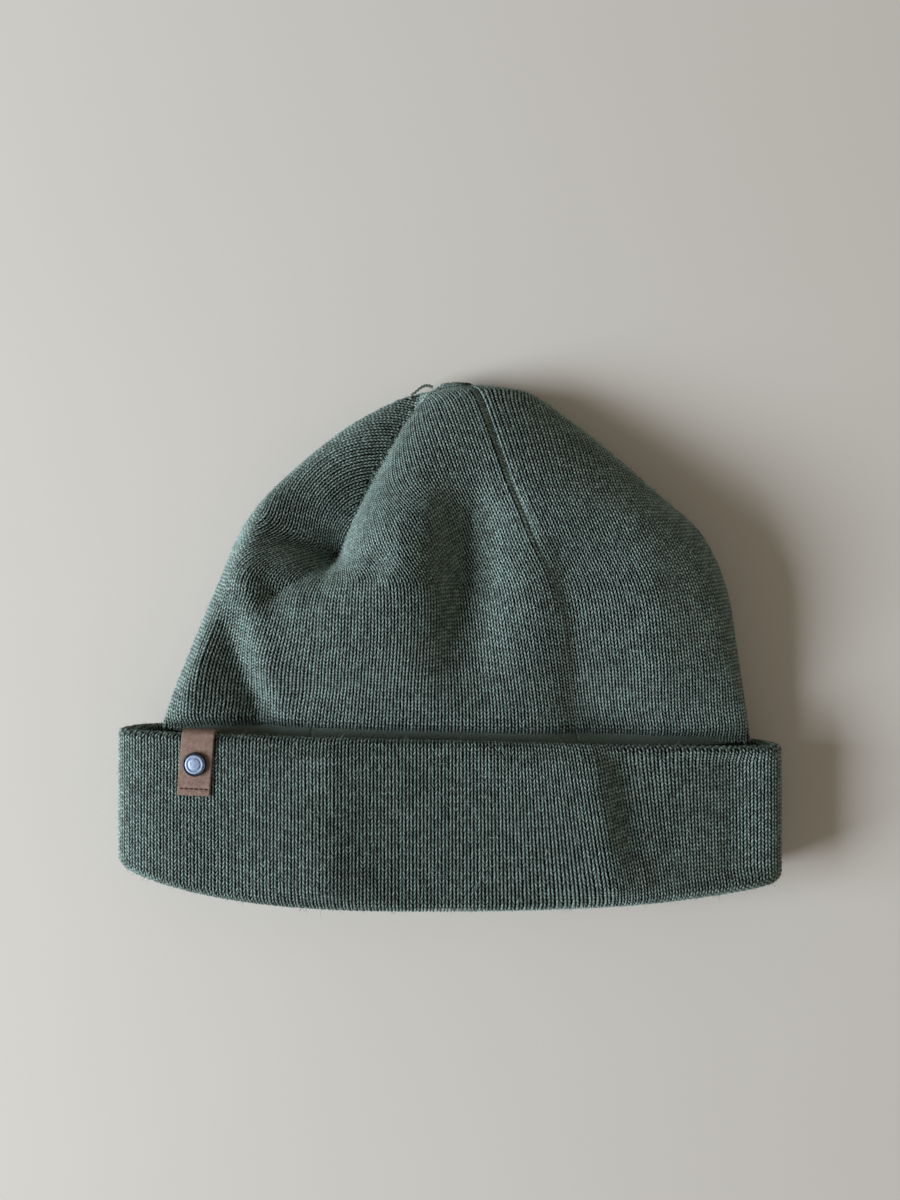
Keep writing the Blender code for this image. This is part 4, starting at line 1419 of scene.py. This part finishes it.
    def left_back_wales(self) -> Wales:
        """Columns of the left gore's back, which keep their distance from the fold."""
        t = np.linspace(self.first_t, self.last_t, self.rows)
        across, face = self.shape.places(Gore.LEFT, t, self.columns + 1, 0.0)
        half = self.columns // 2
        points = self.shape.crown(across, face, t[:, None], self.bed)
        out = self.shape.outward(points, t)[:, half:]
        points = points[:, half:]
        width = arc_lengths(points)[:, -1]
        at_dart = np.interp(self.dart_t, t, width)
        count = round(at_dart / self.stitch.pitch)
        index = np.arange(count) + 0.5
        spread = np.where(t < self.dart_t, width / at_dart, 1.0)
        places = index * (at_dart / count) * spread[:, None]
        keep = places < width[:, None] - self.seam_room * at_dart / count
        return Wales.lay(points, out, places, keep)

    def build_ground(self, gore: Gore, finish: Material) -> None:
        """Build the near-black sheet under a gore's stitches, closed, whose colour is painted shade showing
        between them.
        """
        t = np.concatenate([np.linspace(0.0, 1.0, 22)[:-1], np.linspace(1.0, self.shape.tip_t, 120)])
        depths = (self.ground, self.shape.layer - 0.05)
        outer, inner = (self.grid(gore, t, depth, 0.12, 56) for depth in depths)
        piece = add_sheet(f"crown_{gore.value}_ground", outer, inner, finish)
        settle(piece, (f"crown_{gore.value}_gore",))

    def dress(self, name: str, wales: Wales, finish: Material, seed: int) -> None:
        """Knit one gore's stitches over its ground."""
        places = wales.stitches(self.stitch, True)
        places.lift_clear()
        self.placed.append(places)
        self.tree.knit(name, places, self.stitch, finish, seed)

    def build_seam(self, column: Column, finish: Material, seed: int) -> None:
        """Build one linked seam as a chain of small loops along the bottom of its groove."""
        t = np.linspace(0.05, self.shape.tip_t - 0.05, 500)
        beside = with_neighbours(self.shape.station(t)[:, column.value], 0.006)
        points = self.shape.crown(beside, np.full((len(t), 1), column.face), t[:, None], 0.6)
        wales = Wales.line(points, self.shape.outward(points, t))
        chain = Stitch(pitch=1.5, course=1.7, thick=0.4, wide=0.34)
        node = f"crown_seam_{column.seam}"
        self.tree.link_seam(f"{node}_links", node, wales, chain, finish, seed, 0.12, 0.1)

    def build_tip(self, finish: Material, ground: Material) -> None:
        """Build the gathered tip: stitches drawn together over a small rounded cap in the near-black colour
        of painted shade.
        """
        shape = self.shape
        u, across, face = once_round(72)
        base = shape.crown(across, face, np.full_like(u, float(shape.tip_t)), 0.6)
        middle = base.mean(axis=0)
        rings = []
        for scale, lift in ((0.94, -0.3), (0.9, 0.1), (0.7, 0.5), (0.46, 0.8), (0.24, 1.0), (0.08, 1.1)):
            ring = middle + (base - middle) * scale
            ring[:, 0] -= 1.6 * max(lift, 0.0)
            ring[:, 1] += lift * shape.tip_height
            rings.append(ring)
        grid = np.stack(rings)
        out = unit(grid - middle + (0.0, 1.5, 0.0))
        kept = np.zeros((1, len(u)), bool)
        kept[:, ::3] = True
        fine = np.linspace(0.0, len(rings) - 1, 40)
        finer = smooth_rows(grid.reshape(len(rings), -1), fine).reshape(len(fine), len(u), 3)
        facing = unit(smooth_rows(out.reshape(len(rings), -1), fine).reshape(finer.shape))
        wales = Wales(finer, facing, np.broadcast_to(kept, finer.shape[:2]))
        places = wales.stitches(self.stitch, True, 0.45, 0.8)
        knot = self.tree.grow("crown_tip_stitches", places, self.stitch.shape(), finish, 161, 0.25, 0.12)
        settle(knot)
        faces = ring_faces(len(rings), len(u), False)
        settle(add_mesh("crown_tip_gather", grid.reshape(-1, 3), faces, ground), ("crown_tip",))

    def build_yarn_end(self, finish: Material) -> None:
        """Build the end of the closing yarn: two plies twisted round each other, frayed at the end."""
        row = self.shape.stations[-1]
        start = np.array([row[0] - 0.3, row[1] + 1.2, row[5]])
        share = np.linspace(0.0, 1.0, 40)
        sway = 1.1 * np.sin(4.4 * share) - 1.5 * share
        curl = np.stack([-8.4 * share, sway, -3.0 * share * share], axis=-1)
        path = start + curl + (0.0, 0.0, 0.6)
        angle = np.arange(7) * math.tau / 7
        points = []
        faces: Faces = []
        for ply in (0.0, math.pi):
            turn = ply + share * math.tau * 4
            spread = 0.28 + 0.25 * share ** 6
            offset = np.stack([np.zeros_like(share), np.cos(turn) * spread, np.sin(turn) * spread], axis=-1)
            first = sum(len(part) for part in points)
            for centre, size in zip(path + offset, 0.4 * (1.0 - 0.5 * share ** 8)):
                ring = np.stack([np.zeros(7), np.cos(angle) * size, np.sin(angle) * size], axis=-1)
                points.append(centre + ring)
            tube = ring_faces(len(share), 7, False)
            faces += [tuple(corner + first for corner in face) for face in tube]
        piece = add_mesh("closing_yarn_plies", np.concatenate(points), faces, finish)
        settle(piece, ("closing_yarn_end",))


@dataclass
class Lining:
    """The lining: four ribbed gores inside the crown, their seams, and stitches at the mouth."""

    shape: HatShape
    tree: RepeatTree
    stitch: Stitch = field(default_factory=lambda: Stitch(pitch=2.45))
    mouth_t: float = 0.26
    rib: float = 0.28

    def build_gore(self, gore: Gore, finish: Material) -> None:
        """Build one gore as a closed sheet whose inner face has a rib for each column of stitches."""
        shape = self.shape
        t = np.linspace(0.0, shape.tip_t - 1, 52)
        columns = 241
        across, face = shape.places(gore, t, columns, 0.1)
        outer = shape.lining(across, face, t[:, None], shape.layer_pitch + 0.05)
        inner = shape.lining(across, face, t[:, None], shape.lining_end - shape.crown_inset - 0.35)
        ribs = round(arc_lengths(inner[:1])[0, -1] / self.stitch.pitch)
        phase = np.linspace(0.0, ribs, columns) * math.tau
        deep = self.rib * smooth_step(t, self.mouth_t - 0.03, self.mouth_t)[:, None]
        inner = inner - shape.outward(inner, t) * (deep * (0.5 - 0.5 * np.cos(phase)))[..., None]
        piece = add_sheet(f"lining_{gore.value}_ribbed", outer, inner, finish)
        settle(piece, (f"lining_{gore.value}_gore",))

    def dress_mouth(self, finish: Material) -> None:
        """Knit stitches on the lining just inside the mouth, where they can be seen."""
        shape = self.shape
        across, face = shape.ring(150)
        t = np.linspace(0.0, self.mouth_t, 60)
        depth = shape.lining_end - shape.crown_inset - 0.25
        points = shape.lining(across[None], face[None], t[:, None], depth)
        length = arc_lengths(points)[:, -1:]
        count = round(length[0, 0] / self.stitch.pitch)
        places = (np.arange(count) + 0.5) / count * length
        wales = Wales.lay(points, -shape.outward(points, t), places, np.ones(places.shape, bool))
        places = wales.stitches(self.stitch, True)
        piece = self.tree.grow("lining_mouth_stitches", places, self.stitch.shape(), finish, 301)
        settle(piece)

    def build_seams(self, finish: Material) -> None:
        """Build the lining's four linked seams and its gathered tip."""
        shape = self.shape
        chain = Stitch(pitch=1.2, course=1.8, thick=0.32, wide=0.28)
        t = np.linspace(0.05, shape.tip_t - 1.05, 400)
        for place, column in enumerate(SEAMS):
            beside = with_neighbours(shape.station(t)[:, column.value], 0.005)
            face = np.full((len(t), 1), column.face)
            points = shape.lining(beside, face, t[:, None], shape.layer_pitch + shape.layer / 2)
            wales = Wales.line(points, -shape.outward(points, t))
            node = f"lining_seam_{column.seam}"
            self.tree.link_seam(f"{node}_links", node, wales, chain, finish, 320 + place)
        u, across, face = once_round(48)
        base = shape.lining(across, face, np.full_like(u, float(shape.tip_t - 1)), shape.layer_pitch + 0.1)
        middle = base.mean(axis=0)
        rings = []
        for scale, lift in ((0.95, 0.0), (0.95, 0.35), (0.75, 0.8), (0.35, 1.0)):
            ring = middle + (base - middle) * (scale * (1.0 + 0.05 * np.cos(u * math.tau * 10)))[:, None]
            ring[:, 1] += shape.clearance + 1.2 * lift
            rings.append(ring)
        faces = ring_faces(len(rings), len(u), False)
        piece = add_mesh("lining_tip_gather", np.concatenate(rings), faces, finish)
        settle(piece, ("lining_tip",))


@dataclass
class Cuff:
    """The turned-up cuff: knit that comes out of the mouth, round the hem and over the free edge."""

    shape: HatShape
    tree: RepeatTree
    stitch: Stitch = field(default_factory=lambda: Stitch(pitch=2.5))
    tuck: float = 8.0
    bed: float = 0.42
    ground: float = 1.0
    ground_back: float = 1.7
    placed: list[Scatter] = field(default_factory=list)

    def path(self, inset: float, steps: int) -> Array:
        """The knit's path from the mouth to behind the free edge.

        Args:
            inset: Distance below the knit's face.
            steps: How finely each stretch is divided.

        Returns:
            Rows of depth, height above the hem, share of the way up and distance below the free edge.
        """
        def stretch(*columns: Array | float) -> Array:
            """Rows of one stretch of the path."""
            return np.stack(np.broadcast_arrays(*columns), axis=-1)

        hem = self.shape.lining_end / 2
        edge = self.shape.cuff_wall / 2
        turn = np.linspace(0.0, math.pi, steps)
        flat = np.linspace(0.0, 1.0, 2 * steps)[1:]
        over = turn[1:]
        back = np.linspace(0.0, self.tuck, steps // 2)[1:]
        return np.concatenate([
            stretch(hem + (hem - inset) * np.cos(turn), hem - (hem - inset) * np.sin(turn), 0.0, edge),
            stretch(inset, hem, flat, edge),
            stretch(edge - (edge - inset) * np.cos(over), hem, 1.0, edge - (edge - inset) * np.sin(over)),
            stretch(self.shape.cuff_wall - inset, hem, 1.0, edge + back)])

    def surface(self, inset: float, steps: int, across: Array, face: Array) -> Array:
        """Grid of points: rows along the knit's path, columns round the cuff."""
        path = self.path(inset, steps)
        columns = [path[:, column, None] for column in range(4)]
        return self.shape.cuff(across[None, :], face[None, :], *columns)

    def build_ground(self, finish: Material) -> None:
        """Build the near-black band of painted shade under the stitches, closed round the cuff."""
        across, face = self.shape.ring(48)
        outer = self.surface(self.ground, 12, across[:-1], face[:-1])
        inner = self.surface(self.ground_back, 12, across[:-1], face[:-1])
        loop = np.concatenate([outer, inner[::-1]]).transpose(1, 0, 2)
        faces = ring_faces(loop.shape[0], loop.shape[1], True)
        piece = add_mesh("cuff_outer_ground", loop.reshape(-1, 3), faces, finish)
        settle(piece, ("cuff_outer_layer",))

    def build_inner(self, finish: Material) -> None:
        """Build the cuff's inner layer, a ribbed band between the outer layer and the crown."""
        shape = self.shape
        across, face = shape.ring(260)
        across, face = across[:-1], face[:-1]
        low, high = shape.lining_end / 2 + 0.8, shape.cuff_wall / 2 + self.tuck + 0.8
        ribs = 0.16 * np.cos(np.arange(len(across)) * math.tau / 6)
        heights = (0.0, 0.06, 0.14, 0.3, 0.5, 0.7, 0.86, 0.94, 1.0)
        levels = [(shape.layer_pitch, up) for up in heights]
        levels += [(shape.cuff_wall - 0.2, up) for up in reversed(heights)]
        loop = [
            shape.cuff(across, face, depth + ribs, low, np.full_like(across, up), high)
            for depth, up in levels]
        faces = ring_faces(len(across), len(loop), True)
        piece = add_mesh("cuff_inner_ribbed", np.stack(loop, axis=1).reshape(-1, 3), faces, finish)
        settle(piece, ("cuff_inner_layer",))

    def dress(self, finish: Material) -> None:
        """Knit the stitches round the whole cuff."""
        across, face = self.shape.ring(200)
        points = self.surface(self.bed, 40, across, face)
        out = unit(np.cross(np.gradient(points, axis=0), np.gradient(points, axis=1)))
        run = arc_lengths(points)[int(points.shape[0] * 0.45)]
        count = round(run[-1] / self.stitch.pitch)
        share = (np.arange(count) + 0.5) / count * run[-1]
        column = np.interp(share, run, np.arange(points.shape[1]))
        low = np.clip(column.astype(int), 0, points.shape[1] - 2)
        rest = (column - low)[:, None]
        laid, facing = (grid[:, low] * (1 - rest) + grid[:, low + 1] * rest for grid in (points, out))
        middle = len(points) // 2
        top = int(count * 0.4)
        if facing[middle, top, 2] * (1 if laid[middle, top, 2] > self.shape.cuff_height / 2 else -1) < 0:
            facing = -facing
        wales = Wales(laid, unit(facing), np.ones(laid.shape[:2], bool))
        places = wales.stitches(self.stitch, False)
        places.lift_clear()
        self.placed.append(places)
        self.tree.knit("cuff_stitches", places, self.stitch, finish, 201)

    def build_join(self, finish: Material) -> None:
        """Build the linked seam that closes the cuff, a chain a little right of the foot of its step."""
        join = 0.5 + (self.shape.join_x + self.shape.join_width) / self.shape.cuff_width
        points = self.surface(1.2, 40, with_neighbours(join, 0.007), np.ones(3))
        chain = Stitch(pitch=1.4, course=1.8, thick=0.36, wide=0.3)
        out = np.cross(np.gradient(points, axis=0), np.gradient(points, axis=1))
        out = unit(out) * np.sign(out[len(points) // 2, 1, 2])
        kept = np.zeros(points.shape[:2], bool)
        kept[40:-20, 1] = True
        wales = Wales(points, out, kept)
        self.tree.link_seam("cuff_join_links", "cuff_join_seam", wales, chain, finish, 260, 0.1, 0.1)


@dataclass
class TabLabel:
    """The suede tab folded over the cuff's free edge, its row of thread and its plain badge."""

    shape: HatShape
    tree: RepeatTree
    width: float = 11.8
    front_length: float = 21.5
    back_length: float = 8.0
    thickness: float = 1.0
    from_fold: float = 32.0
    lean: float = 0.08
    ease: float = 0.5
    back_ease: float = 0.6
    stitch_above_end: float = 2.4
    badge_diameter: float = 8.4
    badge_below_edge: float = 10.4
    badge_rim: float = 0.75
    badge_height: float = 1.1
    edge_round: float = 0.35
    fold_start: float = 0.6

    def seat(self, aside: Array, depth: Array, below: Array) -> Array:
        """Points over the cuff's front.

        Args:
            aside: Distance from the tab's middle.
            depth: Depth below the cuff's face.
            below: Distance below the free edge.

        Returns:
            Points, with x, y and z as the last axis.
        """
        shape = self.shape
        aside, depth, below = np.broadcast_arrays(aside, depth, below)
        x = self.from_fold - shape.cuff_width / 2 + aside - self.lean * below
        share = 2 * x / shape.cuff_width
        power = shape.cuff_power
        half = shape.cuff_height / 2

        def height(at: Array) -> Array:
            """Height of the cuff's face across its width."""
            return half + half * np.maximum(0.0, 1.0 - np.abs(at) ** power) ** (1.0 / power)

        slope = (height(share + 0.04) - height(share - 0.04)) / (0.04 * shape.cuff_width)
        size = np.sqrt(1.0 + slope * slope)
        y = shape.free_edge_y(x) - below
        return np.stack([x + depth * slope / size, y, height(share) - depth / size], axis=-1)

    def centre_line(self) -> Array:
        """The tab's folded middle line: depth, distance below the edge, and its outward direction."""
        shape = self.shape
        near = -self.ease - self.thickness / 2
        far = shape.cuff_wall + self.back_ease + self.thickness / 2
        front = np.linspace(self.front_length, self.fold_start, 64)
        rows = [(near, below, -1.0, 0.0) for below in front]
        middle, half = (near + far) / 2, (far - near) / 2
        for angle in np.linspace(0.0, math.pi, 18):
            rise = self.fold_start - (self.ease + self.thickness / 2 + self.fold_start) * math.sin(angle)
            rows.append((middle - half * math.cos(angle), rise, -math.cos(angle), -math.sin(angle)))
        back = np.linspace(self.fold_start, self.back_length, 16)[1:]
        rows += [(far, below, 1.0, 0.0) for below in back]
        return np.array(rows)

    def build(self, finish: Material) -> None:
        """Build the tab as a folded strip with soft, rounded edges."""
        flat = self.width / 2 - self.edge_round
        thick = self.thickness / 2
        corner = np.linspace(0.0, math.pi, 9)[1:-1]
        outline = [(share * flat, 1.0) for share in np.linspace(-1.0, 1.0, 27)]
        outline += [(flat + self.edge_round * math.sin(angle), math.cos(angle)) for angle in corner]
        outline += [(share * flat, -1.0) for share in np.linspace(1.0, -1.0, 27)]
        outline += [(-flat - self.edge_round * math.sin(angle), -math.cos(angle)) for angle in corner]
        section = np.array(outline)
        rings = []
        stitch_at = self.front_length - self.stitch_above_end
        for depth, below, out_depth, out_below in self.centre_line():
            from_end = min(1.0, (self.front_length - below) / 0.5 + 0.25) if out_depth < 0 else 1.0
            pinch = 0.2 * math.exp(-((below - stitch_at) / 0.8) ** 2) if out_depth == -1.0 else 0.0
            lift = section[:, 1] * thick * from_end - np.where(section[:, 1] > 0, pinch, 0.0)
            rings.append(self.seat(section[:, 0], depth + out_depth * lift, below + out_below * lift))
        faces = ring_faces(len(rings), len(section), False)
        piece = add_mesh("tab_suede", np.concatenate(rings), faces, finish)
        settle(piece, ("tab_label",))

    def dress_thread(self, finish: Material) -> None:
        """Sew the row of thread across the tab's lower end."""
        aside = np.linspace(-0.5, 0.5, 6) * (self.width - 3.0)
        below = self.front_length - self.stitch_above_end
        face = -self.ease - self.thickness + 0.12
        points = self.seat(aside, face, below)
        out = unit(self.seat(aside, face - 1.0, below) - points)
        along = unit(self.seat(aside + 0.2, face, below + 0.02) - points)
        places = Scatter(points, along, out, np.ones((len(aside), 3)))
        piece = self.tree.grow("tab_thread", places, Dash().shape(), finish, 401, 0.05, 0.05)
        settle(piece, ("tab_stitch",))

    def turned(self, name: str, profile: list[tuple[float, float]], finish: Material) -> Piece:
        """Build a turned piece square to the tab's face.

        Args:
            name: Name of the piece.
            profile: Radii and heights above the tab, from the axis below to the axis above.
            finish: Its material.

        Returns:
            The new piece.
        """
        count = 96
        seat = self.seat(0.0, -self.ease - self.thickness, self.badge_below_edge)
        out = unit(seat - self.seat(0.0, 0.0, self.badge_below_edge))
        along = np.array([0.0, 1.0, 0.0])
        across = np.cross(along, out)
        angle = np.arange(count) * math.tau / count
        rings = []
        for radius, height in profile:
            ring = np.cos(angle)[:, None] * across + np.sin(angle)[:, None] * along
            rings.append(seat + ring * radius + out * height)
        return add_mesh(name, np.concatenate(rings), ring_faces(len(rings), count, False), finish)

    def build_badge(self, metal: Material, enamel: Material) -> None:
        """Build the badge: a dark rim with a rounded lip, and a plain disc with one raised ring."""
        outer = self.badge_diameter / 2
        inner = outer - self.badge_rim
        bend = 0.35
        low, shoulder = 0.05, 0.3 + self.badge_height - bend
        rim = [(0.9, -0.6), (0.98, -0.55), (0.98, low), (outer - 0.12, low), (outer, low + 0.15)]
        rim.append((outer, shoulder))
        middle, lip = (outer + inner) / 2, self.badge_rim / 2
        for angle in np.linspace(0.0, math.pi, 9):
            rim.append((middle + lip * math.cos(angle), shoulder + bend * math.sin(angle)))
        rim += [(inner, 0.72), (inner - 0.1, 0.68), (0.3, 0.68)]
        settle(self.turned("badge_rim", rim, metal), ("badge_bezel",))
        edge = inner - 0.12
        disc = [(0.3, 0.78), (edge - 0.05, 0.78), (edge, 0.84), (edge, 1.1), (edge - 0.08, 1.18)]
        disc += [(edge * 0.80, 1.2), (edge * 0.77, 1.16), (edge * 0.75, 0.98), (edge * 0.66, 0.98)]
        disc += [(edge * 0.64, 1.2), (edge * 0.61, 1.26), (edge * 0.4, 1.29), (edge * 0.2, 1.31)]
        disc.append((edge * 0.03, 1.31))
        settle(self.turned("badge_plain_disc", disc, enamel), ("badge_disc",))


@dataclass
class Fuzz:
    """Loose fibres that stand off the knit, and a few pale flecks of lint."""

    tree: RepeatTree
    seed: int = 77
    fibres: int = 4500
    flecks: int = 60
    least_z: float = 3.5
    tilt: float = 0.22

    def dress(self, stitches: Scatter, finish: Material, lint: Material) -> None:
        """Scatter fibres and lint over the knit's stitches."""
        rng = np.random.default_rng(self.seed)
        for part in range(2):
            label = f"loose_fibres_{part + 1}"
            self.scatter(label, stitches, self.fibres, rng, finish, Hair(), (0.5, 1.3), 0.35)
        on_front = stitches.pick(stitches.out[:, 2] > 0.6)
        fleck = Hair(length=1.5, thick=0.1)
        self.scatter("lint_flecks", on_front, self.flecks, rng, lint, fleck, (0.35, 1.1), 0.75)

    def scatter(self, name: str, stitches: Scatter, count: int, rng: np.random.Generator,
                finish: Material, hair: Hair, sizes: tuple[float, float], lift: float) -> None:
        """Scatter one kind of fibre.

        Args:
            name: Name of the piece.
            stitches: Where fibres may stand.
            count: How many there are.
            rng: Seeded source of chance.
            finish: Their material.
            hair: Their shape.
            sizes: Smallest and largest stretch.
            lift: Height of their roots above the stitches' middles.
        """
        clear = np.where(stitches.points[:, 2] > self.least_z)[0]
        roots = stitches.pick(rng.choice(clear, count))
        out = unit(roots.out + rng.normal(0.0, self.tilt, roots.out.shape))
        points = roots.points + roots.out * lift + roots.along * rng.uniform(-0.6, 0.6, (count, 1))
        along = rng.normal(size=(count, 3))
        along = unit(along - np.sum(along * out, axis=-1, keepdims=True) * out)
        stretch = np.repeat(rng.uniform(*sizes, (count, 1)), 3, axis=1)
        places = Scatter(points, along, out, stretch)
        piece = self.tree.grow(name, places, hair.shape(), finish, self.seed, 0.3, 0.2)
        settle(piece)


@dataclass(frozen=True)
class Studio:
    """Camera straight above the hat, one large soft lamp from the left, and a pale floor."""

    height: float = 0.38
    middle_y: float = 0.0147
    plane_z: float = 0.017
    view_width: float = 0.328
    key_watts: float = 69.0
    fill: float = 0.27
    lamp_size: tuple[float, float] = (1.1, 0.9)
    lamp_at: tuple[float, float, float] = (-1.75, -0.35, 1.0)
    floor_half: float = 3.0

    def add_camera(self) -> None:
        """Add the camera, framed as a 900 by 1200 picture."""
        data = bpy.data.cameras.new("camera")
        data.sensor_width = 36.0
        data.lens = 36.0 * self.height / (self.view_width * 1200 / 900)
        camera = link("camera", data)
        camera.location = (0.0, self.middle_y, self.plane_z + self.height)
        bpy.context.scene.camera = camera

    def add_lights(self) -> None:
        """Add a wide lamp at the left and an even, dim surround."""
        data = bpy.data.lights.new("window lamp", "AREA")
        data.shape = "RECTANGLE"
        data.size, data.size_y = self.lamp_size
        data.energy = self.key_watts
        data.color = linear("#eef6ff")[:3]
        lamp = link("window lamp", data)
        lamp.location = self.lamp_at
        aim = Vector((0.0, 0.0, 0.02)) - lamp.location
        lamp.rotation_mode = "QUATERNION"
        lamp.rotation_quaternion = aim.to_track_quat("-Z", "Y")
        world = bpy.data.worlds.new("studio")
        world.use_nodes = True
        background = world.node_tree.nodes["Background"]
        background.inputs["Color"].default_value = linear("#fff1dc")
        background.inputs["Strength"].default_value = self.fill
        bpy.context.scene.world = world
        bpy.context.scene.view_settings.view_transform = "Standard"

    def add_floor(self) -> None:
        """Add a wide pale floor with a faint, even mottle."""
        mesh = bpy.data.meshes.new("floor")
        half = self.floor_half
        points = [(-half, -half, 0.0), (half, -half, 0.0), (half, half, 0.0), (-half, half, 0.0)]
        mesh.from_pydata(points, [], [(0, 1, 2, 3)])
        finish = FinishTree("painted board")
        finish.colour(finish.noise(120.0, 3.0), "#c9c5bd", "#cdc9c2")
        mesh.materials.append(finish.done({"Roughness": 0.8}))
        floor = link("floor", mesh)


def main() -> None:
    """Build the hat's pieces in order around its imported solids."""
    logging.basicConfig(level=logging.INFO, format="%(message)s")
    for old in list(bpy.data.objects):
        bpy.data.objects.remove(old, do_unlink=True)
    studio = Studio()
    studio.add_camera()
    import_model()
    shape = HatShape()
    tree = RepeatTree()

    # The yarn's near-black dark colour is reached at the legs' ends: painted shade between the stitches
    yarn = Wool("slate wool yarn", "#abc4bd", "#131613").make()
    # A near-black knit colour under the stitches: painted shade that shows in the gaps between them and in
    # the slot above the cuff's edge
    ground = Wool("shaded slate knit", "#1e2422", "#111514", sheen=0.1).make()
    inside = Wool("lining wool yarn", "#717f77", "#1d2320").make()
    seam = Wool("linking yarn", "#6a786f", "#262d29").make()
    lint = Wool("pale lint", "#e9e8e2", "#bdbcb4").make()
    suede = Suede("brown suede", "#957d71", "#5f4c44").make()
    thread = Wool("brown sewing thread", "#4a352b", "#2a1d17", sheen=0.1, fibre=0.15).make()
    metal = CastMetal("dark coated zinc", "#3b4049", "#1d2026", 0.7, 0.38).make()
    enamel = CastMetal("blue grey coated zinc", "#9fb0c8", "#6d81a0", 0.25, 0.4).make()

    crown = Crown(shape, tree)
    for gore in Gore:
        crown.build_ground(gore, ground)
    crown.dress("crown_front_stitches", crown.straight_wales(Gore.FRONT, 1.0), yarn, 101)
    crown.dress("crown_right_stitches", crown.straight_wales(Gore.RIGHT, 0.0), yarn, 111)
    crown.dress("crown_back_stitches", crown.straight_wales(Gore.BACK, 0.5), yarn, 121)
    crown.dress("crown_left_stitches", crown.turning_wales(), yarn, 131)
    crown.dress("crown_left_back_stitches", crown.left_back_wales(), yarn, 141)
    for place, column in enumerate(SEAMS):
        crown.build_seam(column, seam, 151 + place)
    crown.build_tip(yarn, ground)
    crown.build_yarn_end(seam)

    lining = Lining(shape, tree)
    for gore in Gore:
        lining.build_gore(gore, inside)
    lining.dress_mouth(inside)
    lining.build_seams(seam)

    cuff = Cuff(shape, tree)
    cuff.build_ground(ground)
    cuff.build_inner(yarn)
    cuff.dress(yarn)
    cuff.build_join(seam)

    tab = TabLabel(shape, tree)
    tab.build(suede)
    tab.dress_thread(thread)
    tab.build_badge(metal, enamel)

    Fuzz(tree).dress(Scatter.join([*crown.placed, *cuff.placed]), yarn, lint)

    studio.add_lights()
    studio.add_floor()


if __name__ == "__main__":
    main()
